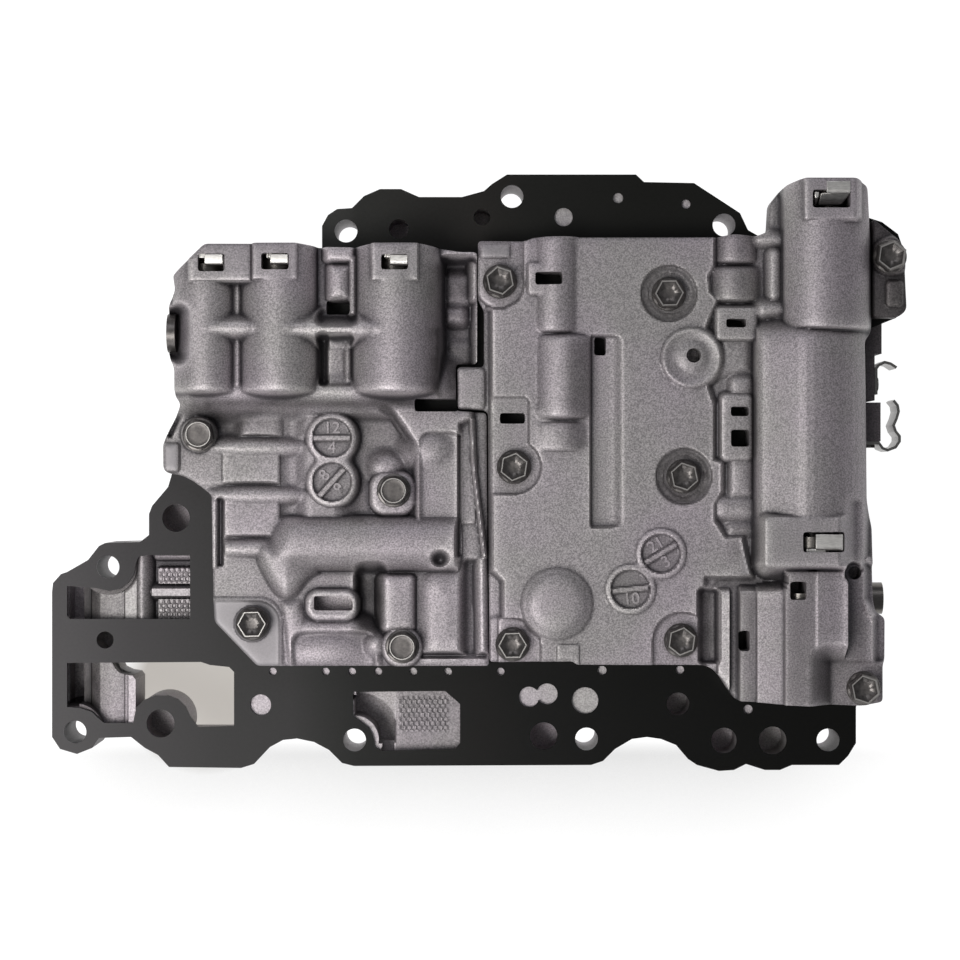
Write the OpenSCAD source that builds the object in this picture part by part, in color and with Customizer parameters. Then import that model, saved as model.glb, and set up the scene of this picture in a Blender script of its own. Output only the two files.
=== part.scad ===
// Transmission valve body: two upper valve castings and a side casting bolted over
// a coated separator plate and a lower channel casting, with spool valves, springs,
// retainers, solenoids and clips. It lies flat with its upper castings facing up.

/* [Body] */
// Length of the whole body, left edge of the plate to the clip side
body_l = 317; // [300:1:340]
// Height of the feet under the lower casting
foot_h = 7; // [5:0.5:12]
// Height of the solenoid block under the flange of the lower casting
block_h = 18; // [17.5:0.5:24]
// Thickness of the flange of the lower casting
flange_h = 28; // [26:1:34]
// Thickness of the separator plate
plate_t = 1.5; // [1:0.1:2.5]
// Height of the tallest upper casting over the plate
cast_h = 30; // [29:0.5:34]
// Wall left between a side of the lower casting and a pocket in it
wall_t = 4; // [3:0.5:6]

/* [Bolts] */
// Thread diameter of the casting bolts
bolt_d = 6; // [5:0.5:6.5]
// Width across the flats of a bolt head
bolt_flats = 10; // [9:0.5:11]
// Height of a bolt head with its flange
bolt_head_h = 6; // [5:0.5:7]
// Diameter of the flange under a bolt head
bolt_flange_d = 12.4; // [12:0.2:13]
// Thickness of that flange
bolt_flange_t = 1.6; // [1:0.1:2.2]
// Length of a casting bolt under its head
bolt_l = 30; // [26:1:34]
// Depth of the dish in the top of a bolt head
bolt_dish = 1.6; // [0.8:0.1:2.5]
// Height of the bolt seats over the plate
seat_h = 12; // [11:0.5:13]
// Diameter of the through holes that fasten the body to its case
mount_d = 8.4; // [7:0.2:9]
// Diameter of a dowel pin
dowel_d = 6; // [4:0.5:7]
// Length of a dowel pin
dowel_l = 13; // [10:1:16]

/* [Valves] */
// Height of the valve bores over the plate
axis_h = 14.5; // [14:0.1:15.2]
// Bore of the first left valve
bore_1_d = 13; // [11:0.5:14]
// Bore of the second left valve
bore_2_d = 15; // [13:0.5:16]
// Bore of the third left valve
bore_3_d = 16; // [14:0.5:17]
// Bore of the pressure regulator valve
bore_main_d = 20; // [18:0.5:22]
// Bore of the modulator valve
bore_mod_d = 15; // [13:0.5:16]
// Bore of the lubrication valve
bore_lube_d = 13; // [11:0.5:14]
// Radial running fit of a valve in its bore
valve_fit = 0.03; // [0.02:0.01:0.05]
// Travel of the three left valves
left_stroke = 4; // [2:0.5:5]
// Travel of the regulator valve
main_stroke = 7; // [4:0.5:9]
// Travel of the modulator valve
mod_stroke = 4; // [2:0.5:5]
// Travel of the lubrication valve
lube_stroke = 3; // [2:0.5:4]
// Length of a bore plug
plug_l = 9; // [8:0.5:10]
// Length of the springs at rest
spring_l = 13; // [12:0.5:15]
// Length of the regulator spring at rest
main_spring_l = 24; // [20:0.5:28]
// Wire diameter of the springs
wire_d = 1.2; // [0.8:0.1:1.4]
// Thickness of a retainer key
key_t = 1.6; // [1:0.1:2]
// Width of a retainer key
key_w = 8.6; // [7:0.2:9]
// Diameter of the manual valve
manual_d = 12; // [10:0.5:13]
// Length of the manual valve
manual_l = 106; // [98:1:110]
// Travel of the manual valve from park to drive
manual_stroke = 24; // [16:1:28]

/* [Solenoids] */
// Diameter of a solenoid can
can_d = 20.6; // [18:0.2:21]
// Length of a linear solenoid can
can_l = 40; // [34:1:44]
// Length of a shift solenoid can
shift_can_l = 30; // [26:1:34]
// Diameter of a solenoid nose
nose_d = 12; // [10:0.5:14]
// Length of a solenoid nose in the casting
nose_l = 18; // [14:1:22]
// Thickness of a solenoid bracket
bracket_t = 1.8; // [1.2:0.1:2.2]
// Width of a solenoid bracket
bracket_w = 12; // [10:0.5:14]
// Length of a bracket bolt under its head
bracket_bolt_l = 12; // [9:0.5:14]

/* [Clips] */
// Thickness of the spring strip of the clips
strip_t = 1; // [0.6:0.1:1.4]
// Width of the spring strip of the clips
strip_w = 16; // [10:1:18]

/* [Hidden] */
$fn = 40;

// Fits and overruns
fit = 0.05;
bolt_clear = 0.3;
face_gap = 0.3;
over = 1;

// The plan is laid out on a grid of squares over the body: x runs right and y runs
// down, and the view centre is where the two layers of the grid meet. Squares on the
// lower layer, which holds the plate and what lies under it, are a little larger.
length_squares_share = 872;
view_share = [480, 480];
lower_square_share = 1.0163;
middle_share = 7.26;
cell = body_l / length_squares_share;
low_cell = cell * lower_square_share;
back_shift = middle_share * low_cell;

// Heights worked out from the stack
block_z = foot_h;
flange_z = foot_h + block_h;
plate_z = flange_z + flange_h;
plate_top = plate_z + plate_t;
seat_z = plate_top + seat_h;
axis_z = plate_top + axis_h;
can_z = block_z + block_h - can_d / 2 - face_gap;
manual_z = flange_z + flange_h / 2;
clip_z = plate_z - wall_t - strip_w;

// Outline of the separator plate, from its upper left lug and clockwise
plate_shares = [[322, 248], [322, 226], [328, 215], [337, 209], [352, 208], [364, 196], [380, 189],
    [401, 189], [419, 197], [462, 197], [484, 191], [492, 184], [507, 174.5], [636, 174.5],
    [644, 182], [694, 183], [740, 213], [748, 230], [762, 238], [860, 215], [882, 222],
    [898, 234], [903, 248], [903, 310], [896, 318], [866, 330], [866, 660], [862, 690],
    [856, 707], [856, 743], [848, 756], [839, 765], [792, 765], [780, 770], [765, 770],
    [746, 764], [734, 770], [719, 771], [697, 765], [688, 759], [676, 745], [661, 739],
    [647, 737], [632, 739], [615, 749], [603, 761], [591, 765], [354, 766], [342, 763],
    [329, 750], [314, 742], [297, 738.5], [283, 740], [270, 747], [254, 764], [241, 768],
    [169, 767], [158, 755], [145, 748], [131, 737], [99, 738], [92, 748], [77, 754], [60, 749],
    [52, 737], [52, 592], [53, 583], [61, 574], [67, 572], [88, 560], [99, 546], [105, 543],
    [140, 542], [149, 535], [149, 514], [152, 506], [168, 487], [171, 477], [180, 440],
    [180, 270], [210, 250]];

// Through holes that fasten the body to its case
mount_shares = [[346, 231], [512, 196.5], [724, 225], [108, 567], [75, 732], [354.6, 740],
    [586.5, 739], [828, 740]];

// Round ports of the plate: x, y and radius in grid squares
plate_port_shares = [[399, 229, 9.8], [482, 217, 8.2], [563.5, 217, 9.2], [176, 518, 13.8],
    [105, 640, 8.5], [160.5, 723.5, 14], [543.7, 736, 13.7], [678, 704, 11.4],
    [724, 740.6, 12.8], [772.7, 740.6, 14], [585, 700.6, 13.3], [529, 697, 10.2],
    [547, 694, 10.5], [260.5, 705, 10.5], [618, 198, 5.1], [686, 204, 4.5],
    [602, 670.5, 4.5], [748, 709.5, 4.6], [680, 670, 4.2]];
// The row of small orifices along the lower edge of the castings: places and radius
orifice_shares = [[272.7, 671.6], [325.8, 671.6], [352, 671.6], [378.2, 671.6], [413.2, 671.6],
    [448, 671.6], [500.7, 671.6]];
orifice_d = 2.8;

// Windows of the plate
window_1_shares = [[67, 586], [80, 587], [96, 588], [109, 591], [120, 589], [128, 583],
    [134, 574], [136, 563], [138, 557], [147, 555], [190, 555], [190, 619], [70, 619], [67, 616]];
window_2_shares = [[67, 663], [201, 662], [210, 665], [229, 667], [234, 672], [234, 726],
    [198, 727], [190, 716], [186, 707], [178, 699], [168, 695.5], [155, 695.5], [144, 700],
    [136, 708], [133, 723], [104, 723], [98, 718], [92, 712], [80, 708], [67, 707]];
window_3_shares = [[353, 692], [445, 691], [460, 704], [460, 743], [455, 749], [382, 751],
    [375, 747], [373, 736], [369, 728], [360, 721], [353, 716]];

// Forms of the lower casting seen through the plate
open_pocket_shares = [[135, 680], [132, 676], [123, 674.5], [116, 671], [110, 658], [240, 658],
    [240, 732], [135, 732]];
pocket_boss_share = [160.5, 723.5, 28];
well_shares = [[62, 550, 194, 622], [62, 659, 128, 726], [356, 689, 463, 753]];
well_depth = 12;
slot_shares = [[64, 552, 79, 621], [64, 660, 79, 707]];
slot_depth = 25;
well_step_shares = [[124, 553, 146, 621, 0.8], [157, 569, 192, 584, 0.7], [151, 589, 192, 596, 0.9],
    [157, 600, 192, 619, 0.7], [394, 690, 463, 752, 0.75]];
ring_share = [354.6, 740, 24, 45];
ring_keep_shares = [[280, 700, 354, 800], [280, 744, 420, 800]];
ring_depth = 19;
// Deep ports under the round holes of the plate
deep_port_shares = [[399, 229, 11], [482, 217, 10], [176, 518, 16], [105, 640, 10], [160.5, 723.5, 16],
    [543.7, 736, 16], [678, 704, 13], [724, 740.6, 14], [772.7, 740.6, 15]];
deep_port_depth = 20;

// Worm channels in the top of the lower casting: boxes in grid squares
channel_shares = [[300, 300, 311, 560], [340, 290, 351, 420], [440, 280, 451, 590],
    [560, 260, 571, 560], [606, 250, 617, 400], [630, 320, 641, 560], [726, 290, 737, 690],
    [351, 340, 440, 351], [311, 549, 390, 560], [451, 380, 560, 391], [571, 520, 630, 531],
    [641, 420, 726, 431], [560, 590, 571, 700], [571, 640, 640, 651], [760, 300, 771, 560],
    [771, 420, 850, 431], [230, 330, 300, 341], [205, 460, 300, 471], [311, 590, 370, 601]];
channel_depth = 9;
ball_shares = [[305.5, 430], [445.5, 450], [565.5, 480], [635.5, 440], [765.5, 480]];
ball_d = 6;
ball_room = 1.2;

// Block under the flange that carries the solenoids, and its feet
block_shares = [[240, 330], [730, 330], [745, 345], [745, 585], [730, 600], [240, 600],
    [225, 585], [225, 345]];
foot_shares = [[262, 356], [695, 356], [262, 574], [695, 574]];
foot_d = 16;
relief_shares = [[290, 372, 380, 558], [560, 372, 690, 430]];
relief_depth = 11;
// Ribs under the flange beside the block, in boxes on the lower grid
rib_shares = [[90, 641, 225, 649], [190, 500, 198, 649], [190, 420, 230, 428], [232, 270, 240, 345],
    [240, 262, 380, 270], [744, 380, 860, 388], [744, 500, 860, 508], [818, 270, 826, 690],
    [768, 640, 820, 648], [250, 600, 258, 700], [760, 262, 860, 270], [124, 560, 196, 568]];
rib_h = 5;
linear_x_shares = [425, 505, 655, 735];
front_share = 600;
shift_x_shares = [430, 620];
rear_share = 330;

// Bolts: places on the upper grid
flange_bolt_shares = [[500, 281], [669, 293.5], [514, 467], [684, 476.5], [512.5, 645],
    [681.5, 641], [864.5, 689], [252, 624], [891, 256]];
hex_bolt_shares = [[198.5, 434.5], [393.5, 490.6], [402, 647]];
dowel_shares = [[236, 478], [440, 630], [600, 440], [650, 650]];

// Left casting: outline, and forms as boxes with the height of their top as a share
left_shares = [[172, 272], [204, 244], [253, 242.5], [297, 242.5], [321, 248], [356, 248],
    [373, 242.5], [417, 242.5], [461, 252], [477, 252], [477, 364], [455, 364], [455, 399],
    [415, 399], [415, 412], [486, 413], [487, 577], [487.5, 668], [255, 668], [214, 621],
    [214, 571], [212, 495], [168, 474], [163, 469], [163, 445], [167, 432], [180, 402],
    [175, 400], [172, 300]];
left_valve_block_shares = [[172, 272], [204, 244], [253, 242.5], [297, 242.5], [321, 248],
    [356, 248], [373, 242.5], [417, 242.5], [443, 248], [443, 396], [176, 396], [172, 300]];
left_deck_share = 0.3;
left_valve_deck_share = 0.52;
left_form_shares = [[190, 244, 250, 281, 0.86], [255, 244, 301, 281, 0.91], [373, 244, 417, 281, 0.945],
    [327, 263, 350, 299, 0.72], [209, 320, 262, 332, 0.78], [286, 318, 386, 335, 0.84], [163.5, 443, 179, 471, 0.38],
    [224, 443, 290, 454, 0.4], [224, 487, 290, 501, 0.4], [224, 538, 290, 551, 0.4],
    [281, 412, 425, 516, 0.38], [210, 496, 220, 571, 0.42], [420, 430, 457, 460, 0.4],
    [216, 599, 279, 664, 0.34], [383, 575, 413, 630, 0.46], [292, 625, 370, 666, 0.36],
    [372, 475, 414, 516, 0.4], [420, 590, 470, 660, 0.34]];
left_cut_shares = [[328, 338, 349, 384, 0.3], [328, 301, 349, 313, 0.4], [169, 409, 181, 436, 0.2],
    [225, 408, 277, 436, 0.15], [224, 456, 278, 485, 0.22], [224, 503, 250, 536, 0.22],
    [445, 259, 476, 280, 0.14], [445, 304, 476, 392, 0.2], [461, 424, 471, 556, 0.24],
    [360, 578, 380, 640, 0.16], [466, 562, 477, 654, 0.22]];
left_passage_share = [261, 457, 544, 27, 0.52];
left_cone_share = [292, 579, 12];
slot_boss_share = [334, 604.5, 11.5, 15, 0.44];
slot_cut_share = [334, 604.5, 12.5, 7.5, 0.2];
end_boss_share = [166.5, 332.5, 27];
side_plug_d = 14;
side_plug_l = 3;

// Right casting: outline and forms
right_shares = [[478, 241], [545, 237], [714, 237], [734, 233.5], [757, 236], [769, 231], [771, 203],
    [783, 186], [803, 179], [857, 178], [868, 186], [871, 215], [868, 341], [868, 500],
    [874, 526], [873, 600], [885, 617], [883, 702], [862, 706], [741, 703], [734, 697], [719, 673],
    [705, 664], [489, 664], [489, 577], [488.5, 413], [484, 410], [457, 410],
    [457, 367], [484, 365], [484, 310], [478, 300]];
right_base_share = 0.36;
right_deck_share = 0.45;
right_deck_shares = [[524, 238.3], [545, 237], [714, 237], [713.5, 266], [708, 276], [709.6, 292],
    [717.5, 300], [711, 313], [706, 324], [708, 388], [713.4, 404], [713.4, 460], [722, 463],
    [722, 491], [714.7, 504], [714.7, 521], [725.4, 538], [742, 537], [750, 575], [716, 578],
    [702, 592], [702, 664], [501, 664], [501, 580], [489, 571], [489, 309], [524, 309]];
right_form_shares = [[528, 263, 567.5, 294.5, 0.52], [716.5, 307.5, 756.5, 339.5, 0.48],
    [721.5, 394.7, 751.6, 459, 0.49], [770, 250, 780, 300, 0.5], [760, 303, 793, 315, 0.52],
    [759, 236, 790, 244, 0.5], [480.3, 244, 510.3, 257.8, 0.44], [732, 461, 752, 494, 0.45],
    [716, 498, 752, 516, 0.46], [557, 644.5, 579, 664, 0.49], [804, 179, 858, 221, 0.97],
    [764, 515, 851, 564, 0.95], [716, 560, 866, 590, 0.4]];
right_cut_shares = [[535, 272, 562, 285, 0.15], [500, 413, 525, 423, 0.15], [595, 337, 606, 355, 0.15],
    [726, 319, 746, 327, 0.15], [731, 406, 749, 416, 0.15], [731, 430, 749, 446, 0.15],
    [789, 582, 805, 600, 0.3], [740, 630, 750, 651, 0.2], [702, 593, 716, 660, 0.25],
    [592, 337, 614, 526, 0.37]];
// Seats sunk in the deck round the bolts: x, y and radius in grid squares
right_seat_shares = [[669, 293.5, 27.5], [684, 476.5, 27.5], [514, 467, 27], [512.5, 645, 27],
    [681.5, 641, 27], [864.5, 689, 20]];
// Half round humps: x, from y, to y, radius in grid squares, and top as a share
right_hump_shares = [[557, 239, 331, 25, 0.57], [564, 334, 418, 35, 0.62], [560, 421, 452, 40, 0.55],
    [736, 238, 262, 20, 0.52], [736, 264, 301, 24, 0.56]];
right_disc_shares = [[691.5, 357.5, 29.5, 0.51], [692.5, 356.5, 17, 0.55], [557.3, 604, 35.5, 0.49],
    [557.3, 604, 24, 0.57], [500, 281, 21.5, 0.4], [864.5, 689, 18, 0.4]];
right_hole_share = [693, 356];
right_hole_d = 5.6;
vent_share = [855, 573];
vent_d = 5;
// Sections of the housings round the regulator valve and the lubrication valve: x in
// grid squares, height as a share; the first has a flat flank on its left
main_section_shares = [[757, 0], [757, 0.64], [762, 0.71], [797, 0.93], [804, 0.955], [816, 0.955],
    [828, 0.925], [840, 0.85], [850, 0.74], [859, 0.58], [866, 0.42], [868, 0.36], [868, 0]];
main_span_share = 331;
lube_section_shares = [[717, 0.45], [731, 0.45], [731.5, 0.2], [738, 0.2], [738.5, 0.53], [756, 0.53],
    [758, 0.6], [784, 0.78], [816, 0.77], [845, 0.86], [846, 0.4], [872, 0.4], [872, 0], [717, 0]];
lube_span_share = [588, 703];
// Date dials: centres, outer and inner radius, and top of the ring as a share
dial_shares = [[332, 437], [332, 481.5], [659, 555], [629.5, 589.6]];
dial_size_share = [24, 18];
dial_ring_h = 1;

// Side casting on the right, and the lumps of the lower casting beside it
side_shares = [[873, 218], [895, 236], [905, 248], [907, 310], [898, 318], [873, 318]];
side_deck_share = 0.33;
side_form_shares = [[887, 281, 902, 309, 0.4], [874, 240, 900, 272, 0.38]];
lump_shares = [[850, 318, 884, 353], [850, 351, 880, 400], [850, 402, 883, 444]];
lump_top_share = 0.85;

// Valves: centre line x, mouth y and end y on the upper grid, and the side that the
// mouth faces, 1 for the back and -1 for the front
valve_shares = [[206, 244, 391, 1], [278, 244, 391, 1], [395, 244, 391, 1], [812, 564, 336, -1],
    [829, 178, 320, 1], [801, 703, 592, -1]];
valve_bore = [bore_1_d, bore_2_d, bore_3_d, bore_main_d, bore_mod_d, bore_lube_d];
valve_stroke = [left_stroke, left_stroke, left_stroke, main_stroke, mod_stroke, lube_stroke];
valve_spring = [spring_l, spring_l, spring_l, main_spring_l, spring_l, spring_l];
// Radius of the housing round each bore, in grid squares
housing_shares = [36, 44, 47, 0, 44, 0];
// How far the outer round of a housing sits below its bore
housing_drop = 2;
// Share of each bore length at which a port opens down to the plate, and its length
port_shares = [0.42, 0.6, 0.78];
port_l = 4.5;
port_side = 2;
plug_set = 1;
key_set = 4.2;
neck_share = 0.6;
key_room = 4.6;
land_shares = [[0, 0.2], [0.36, 0.56], [0.76, 1]];
waist_share = 0.58;
spigot_share = 0.36;
spigot_l = 4;
coil_share = 0.72;
coil_turns = 5;

// Manual valve bore in the lower casting, on the lower grid
manual_y_share = 600;
manual_x_share = 866;
manual_land_shares = [[0, 0.06], [0.2, 0.36], [0.5, 0.62], [0.74, 0.9]];
manual_eye_share = 0.95;
manual_rest = 8;
manual_room = 12;
hook_t = 3;

// Clip strips: centre lines on the lower grid
upper_clip_shares = [[878.5, 394], [878.5, 368], [881, 364.5], [887, 361.5], [893, 363], [899, 367]];
lower_clip_shares = [[896, 400], [900, 405], [901, 411], [899, 418], [896, 425], [898, 431], [902, 436],
    [902, 441], [898, 447], [890, 450], [885, 448], [881, 442.6], [868, 442.6]];
rivet_shares = [[878.5, 383], [873.5, 442.6]];
rivet_d = 3;
rivet_l = 5;
rivet_head_d = 5;
rivet_head_h = 1.2;

function at(p) = [(p[0] - view_share[0]) * cell, (view_share[1] - p[1]) * cell - back_shift];
function low(p) = [(p[0] - view_share[0]) * low_cell, (view_share[1] - p[1]) * low_cell - back_shift];
function rise(share) = plate_top + share * cast_h;

// A prism over an outline on the upper or lower grid
module prism(shares, z0, z1) {
    translate([0, 0, z0]) linear_extrude(height = z1 - z0) polygon([for (p = shares) at(p)]);
}

module low_prism(shares, z0, z1) {
    translate([0, 0, z0]) linear_extrude(height = z1 - z0) polygon([for (p = shares) low(p)]);
}

// A box between two grid corners
module brick(b, z0, z1) {
    a = at([b[0], b[3]]);
    c = at([b[2], b[1]]);
    translate([a[0], a[1], z0]) cube([c[0] - a[0], c[1] - a[1], z1 - z0]);
}

module low_brick(b, z0, z1) {
    a = low([b[0], b[3]]);
    c = low([b[2], b[1]]);
    translate([a[0], a[1], z0]) cube([c[0] - a[0], c[1] - a[1], z1 - z0]);
}

// A round post at a point
module post(p, d, z0, z1) {
    translate([p[0], p[1], z0]) cylinder(d = d, h = z1 - z0);
}

// A cylinder that lies along Y between two values of y
module along_y(x, y0, y1, z, d) {
    translate([x, y1, z]) rotate([90, 0, 0]) cylinder(d = d, h = y1 - y0);
}

// A long round slot: centre, half the straight part and radius, in grid squares
module obround(s, z0, z1) {
    brick([s[0] - s[2], s[1] - s[3], s[0] + s[2], s[1] + s[3]], z0, z1);
    for (side = [-1, 1]) post(at([s[0] + side * s[2], s[1]]), 2 * s[3] * cell, z0, z1);
}

// Frame of a valve: its x, the y of its mouth, its bore length and its side
function valve_x(i) = at([valve_shares[i][0], 0])[0];
function mouth_y(i) = at([0, valve_shares[i][1]])[1];
function bore_l(i) = (valve_shares[i][2] - valve_shares[i][1]) * cell * valve_shares[i][3];
function spool_l(i) = bore_l(i) - plug_set - plug_l - valve_spring[i] - face_gap;
// Shapes drawn along +Z from the mouth inwards are laid into the bore by this module
module in_bore(i) {
    translate([valve_x(i), mouth_y(i), axis_z]) rotate([valve_shares[i][3] * 90, 0, 0]) children();
}

// What is cut from a casting for one valve: bore, retainer window and ports
module valve_cut(i) {
    r = valve_bore[i] / 2;
    in_bore(i) translate([0, 0, -over]) cylinder(r = r, h = bore_l(i) + over);
    in_bore(i) key_window(i);
    for (s = port_shares)
        in_bore(i) translate([-r - port_side, -valve_shares[i][3] * (axis_h / 2) - axis_h / 2 - over,
            s * bore_l(i)]) cube([2 * (r + port_side), axis_h + over, port_l]);
}

// The window runs from the bore to above the casting, as wide as the key
module key_window(i) {
    up = valve_shares[i][3];
    translate([-key_w / 2 - fit, up > 0 ? 0 : -cast_h, key_set]) cube([key_w + 2 * fit, cast_h, key_room]);
}

// Spool: lands of full bore on a thin waist, with a spigot for its spring
module spool(i) {
    l = spool_l(i);
    r = valve_bore[i] / 2 - valve_fit;
    waist = waist_share * r;
    spigot = spigot_share * r;
    lands = [for (b = land_shares) each [[waist, b[0] * l], [r, b[0] * l], [r, b[1] * l], [waist, b[1] * l]]];
    profile = concat([[0, -spigot_l], [spigot, -spigot_l], [spigot, 0]], lands, [[0, l]]);
    in_bore(i) translate([0, 0, bore_l(i) - face_gap - l]) rotate_extrude() polygon(profile);
}

// Plug: a stepped pin with a neck for the retainer key and a stub for the spring
module plug(i) {
    r = valve_bore[i] / 2 - fit;
    neck = neck_share * r;
    stub = spigot_share * r;
    far = plug_set + plug_l;
    profile = [[0, plug_set], [r, plug_set], [r, key_set - fit], [neck, key_set - fit],
        [neck, key_set + key_t + fit], [r, key_set + key_t + fit], [r, far], [stub, far],
        [stub, far + spigot_l / 2], [0, far + spigot_l / 2]];
    in_bore(i) rotate_extrude() polygon(profile);
}

// Retainer key: a fork over the neck of the plug with its top bent over as a tab
module retainer_key(i) {
    up = valve_shares[i][3];
    neck_r = neck_share * (valve_bore[i] / 2 - fit) + fit;
    top_h = rise(key_top_shares[i]) - axis_z;
    translate([valve_x(i), mouth_y(i), axis_z]) rotate([90, 0, up > 0 ? 0 : 180])
        translate([0, 0, key_set]) difference() {
            union() {
                translate([-key_w / 2, 0, 0]) cube([key_w, top_h, key_t]);
                translate([0, top_h - key_t, 0]) cube([key_w / 2, key_t, key_room - fit]);
                translate([0, top_h - 2 * key_t, key_room - fit - key_t]) cube([key_w / 2, 2 * key_t, key_t]);
            }
            translate([0, 0, -over]) cylinder(r = neck_r, h = key_t + 2 * over);
            translate([-neck_r, -neck_r, -over]) cube([2 * neck_r, neck_r, key_t + 2 * over]);
        }
}
key_top_shares = [0.87, 0.92, 0.95, 0.96, 0.98];

// Coil spring between the plug and the spool, as a swept wire
coil_steps_share = 12;
coil_sides_share = 5;
module coil(i) {
    l = valve_spring[i] - 2 * fit - wire_d;
    coil_r = coil_share * valve_bore[i] / 2;
    steps = coil_turns * coil_steps_share;
    sides = coil_sides_share;
    points = [for (k = [0:steps], a = [0:sides - 1]) let (t = 360 * k / coil_steps_share, b = 360 * a / sides)
        [(coil_r + wire_d / 2 * cos(b)) * cos(t), (coil_r + wire_d / 2 * cos(b)) * sin(t),
            l * k / steps + wire_d / 2 * sin(b)]];
    walls = [for (k = [0:steps - 1], a = [0:sides - 1]) let (b = (a + 1) % sides)
        [k * sides + a, (k + 1) * sides + a, (k + 1) * sides + b, k * sides + b]];
    caps = [[for (a = [0:sides - 1]) a], [for (a = [sides - 1:-1:0]) steps * sides + a]];
    in_bore(i) translate([0, 0, plug_set + plug_l + fit + wire_d / 2]) polyhedron(points, concat(walls, caps));
}

// Lower casting: flange, solenoid block and feet, with its channels, wells and bores
module lower_casting() {
    color("#8c8888") difference() {
        union() {
            low_prism(plate_shares, flange_z, plate_z);
            low_prism(block_shares, block_z, flange_z);
            for (p = foot_shares) post(low(p), foot_d, 0, block_z);
            for (b = rib_shares) low_brick(b, flange_z - rib_h, flange_z + over);
            for (b = lump_shares) low_brick(b, flange_z, flange_z + lump_top_share * flange_h);
        }
        difference() {
            low_prism(open_pocket_shares, flange_z - over, plate_z + over);
            post(low(pocket_boss_share), 2 * pocket_boss_share[2] * low_cell, flange_z - 2 * over, plate_z + 2 * over);
        }
        difference() {
            for (b = well_shares) low_brick(b, plate_z - well_depth, plate_z + over);
            for (p = concat([mount_shares[3], mount_shares[4], mount_shares[5]], [pocket_boss_share]))
                post(low(p), 2 * pocket_boss_share[2] * low_cell, flange_z, plate_z + 2 * over);
            for (b = well_step_shares) low_brick(b, flange_z, plate_z - well_depth * (1 - b[4]));
        }
        for (b = slot_shares) low_brick(b, plate_z - slot_depth, plate_z + over);
        difference() {
            post(low(ring_share), 2 * ring_share[3] * low_cell, plate_z - ring_depth, plate_z + over);
            post(low(ring_share), 2 * ring_share[2] * low_cell, flange_z, plate_z + 2 * over);
            for (b = ring_keep_shares) low_brick(b, flange_z, plate_z + 2 * over);
        }
        for (p = deep_port_shares) post(low(p), 2 * p[2] * low_cell, plate_z - deep_port_depth, plate_z + over);
        for (b = channel_shares) low_brick(b, plate_z - channel_depth, plate_z + over);
        for (p = ball_shares) post(low(p), ball_d + 2 * ball_room, plate_z - channel_depth, plate_z + over);
        for (b = relief_shares) low_brick(b, block_z - over, block_z + relief_depth);
        for (p = mount_shares) post(low(p), mount_d, flange_z - over, plate_z + over);
        bolt_holes(bolt_d + 2 * fit, seat_z - bolt_l - over, plate_z + over);
        for (p = dowel_shares) post(at(p), dowel_d + 2 * fit, plate_z - dowel_l / 2 - fit, plate_z + over);
        manual_bore();
        solenoid_bores();
        for (p = underside_shares) underside_hole(p);
        clip_seats();
        for (k = [0, 1]) rivet(k, rivet_d + 2 * fit, rivet_d);
    }
}

// Flats milled on the lumps where the two clips lie against them
module clip_seats() {
    side = low([upper_clip_shares[0][0], lump_shares[1][3] + seat_over_share]);
    back = low([upper_clip_shares[0][0], lump_shares[1][1] + seat_over_share]);
    under = low(lower_clip_shares[len(lower_clip_shares) - 1]);
    translate([side[0] - strip_t / 2 - fit, side[1], flange_z - over])
        cube([strip_w, back[1] - side[1], flange_h + 2 * over]);
    translate([under[0] - fit, under[1] + strip_t / 2 + fit - strip_w, flange_z - over])
        cube([strip_w, strip_w, flange_h + 2 * over]);
}
seat_over_share = 2;

// The bolt holes that all the upper castings share
module bolt_holes(d, z0, z1) {
    for (p = concat(flange_bolt_shares, hex_bolt_shares)) post(at(p), d, z0, z1);
}

module manual_bore() {
    mouth = low([manual_x_share, manual_y_share]);
    depth = manual_l - manual_rest + manual_room;
    translate([mouth[0] - depth, mouth[1], manual_z]) rotate([0, 90, 0]) cylinder(d = manual_d, h = depth + over);
}

// One bore for each solenoid nose, and the tapped hole of its bracket
module solenoid_bores() {
    for (x = linear_x_shares) solenoid_bore(x, front_share, 1);
    for (x = shift_x_shares) solenoid_bore(x, rear_share, -1);
}

module solenoid_bore(x, y, side) {
    p = low([x, y]);
    translate([p[0], p[1] - side * over, can_z]) rotate([-side * 90, 0, 0])
        cylinder(d = nose_d + 2 * fit, h = nose_l + fit + over);
    post([p[0], p[1] + side * bracket_hold], bolt_d + 2 * fit, block_z - over, block_z + bracket_bolt_l);
}
bracket_hold = 27;

// Bolts from below that hold the plate and castings together
underside_shares = [[300, 640], [600, 640], [790, 560]];
underside_l = 32;
module underside_hole(p) {
    post(at(p), bolt_d + 2 * bolt_clear, flange_z - over, plate_z + over);
}

// Separator plate with its windows and ports
module separator_plate() {
    color("#2b2a2a") difference() {
        low_prism(plate_shares, plate_z, plate_top);
        for (w = [window_1_shares, window_2_shares, window_3_shares])
            low_prism(w, plate_z - over, plate_top + over);
        for (p = mount_shares) post(low(p), mount_d, plate_z - over, plate_top + over);
        for (p = plate_port_shares) post(low(p), 2 * p[2] * low_cell, plate_z - over, plate_top + over);
        for (p = orifice_shares) post(low(p), orifice_d, plate_z - over, plate_top + over);
        bolt_holes(bolt_d + 2 * bolt_clear, plate_z - over, plate_top + over);
        for (p = underside_shares) post(at(p), bolt_d + 2 * bolt_clear, plate_z - over, plate_top + over);
        for (p = dowel_shares) post(at(p), dowel_d + 2 * fit, plate_z - over, plate_top + over);
    }
}

// A date dial: two discs sunk in raised rings
module dial(p) {
    difference() {
        post(at(p), 2 * dial_size_share[0] * cell, 0, dial_ring_h);
        post(at(p), 2 * dial_size_share[1] * cell, 0, dial_ring_h + over);
    }
}

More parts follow.
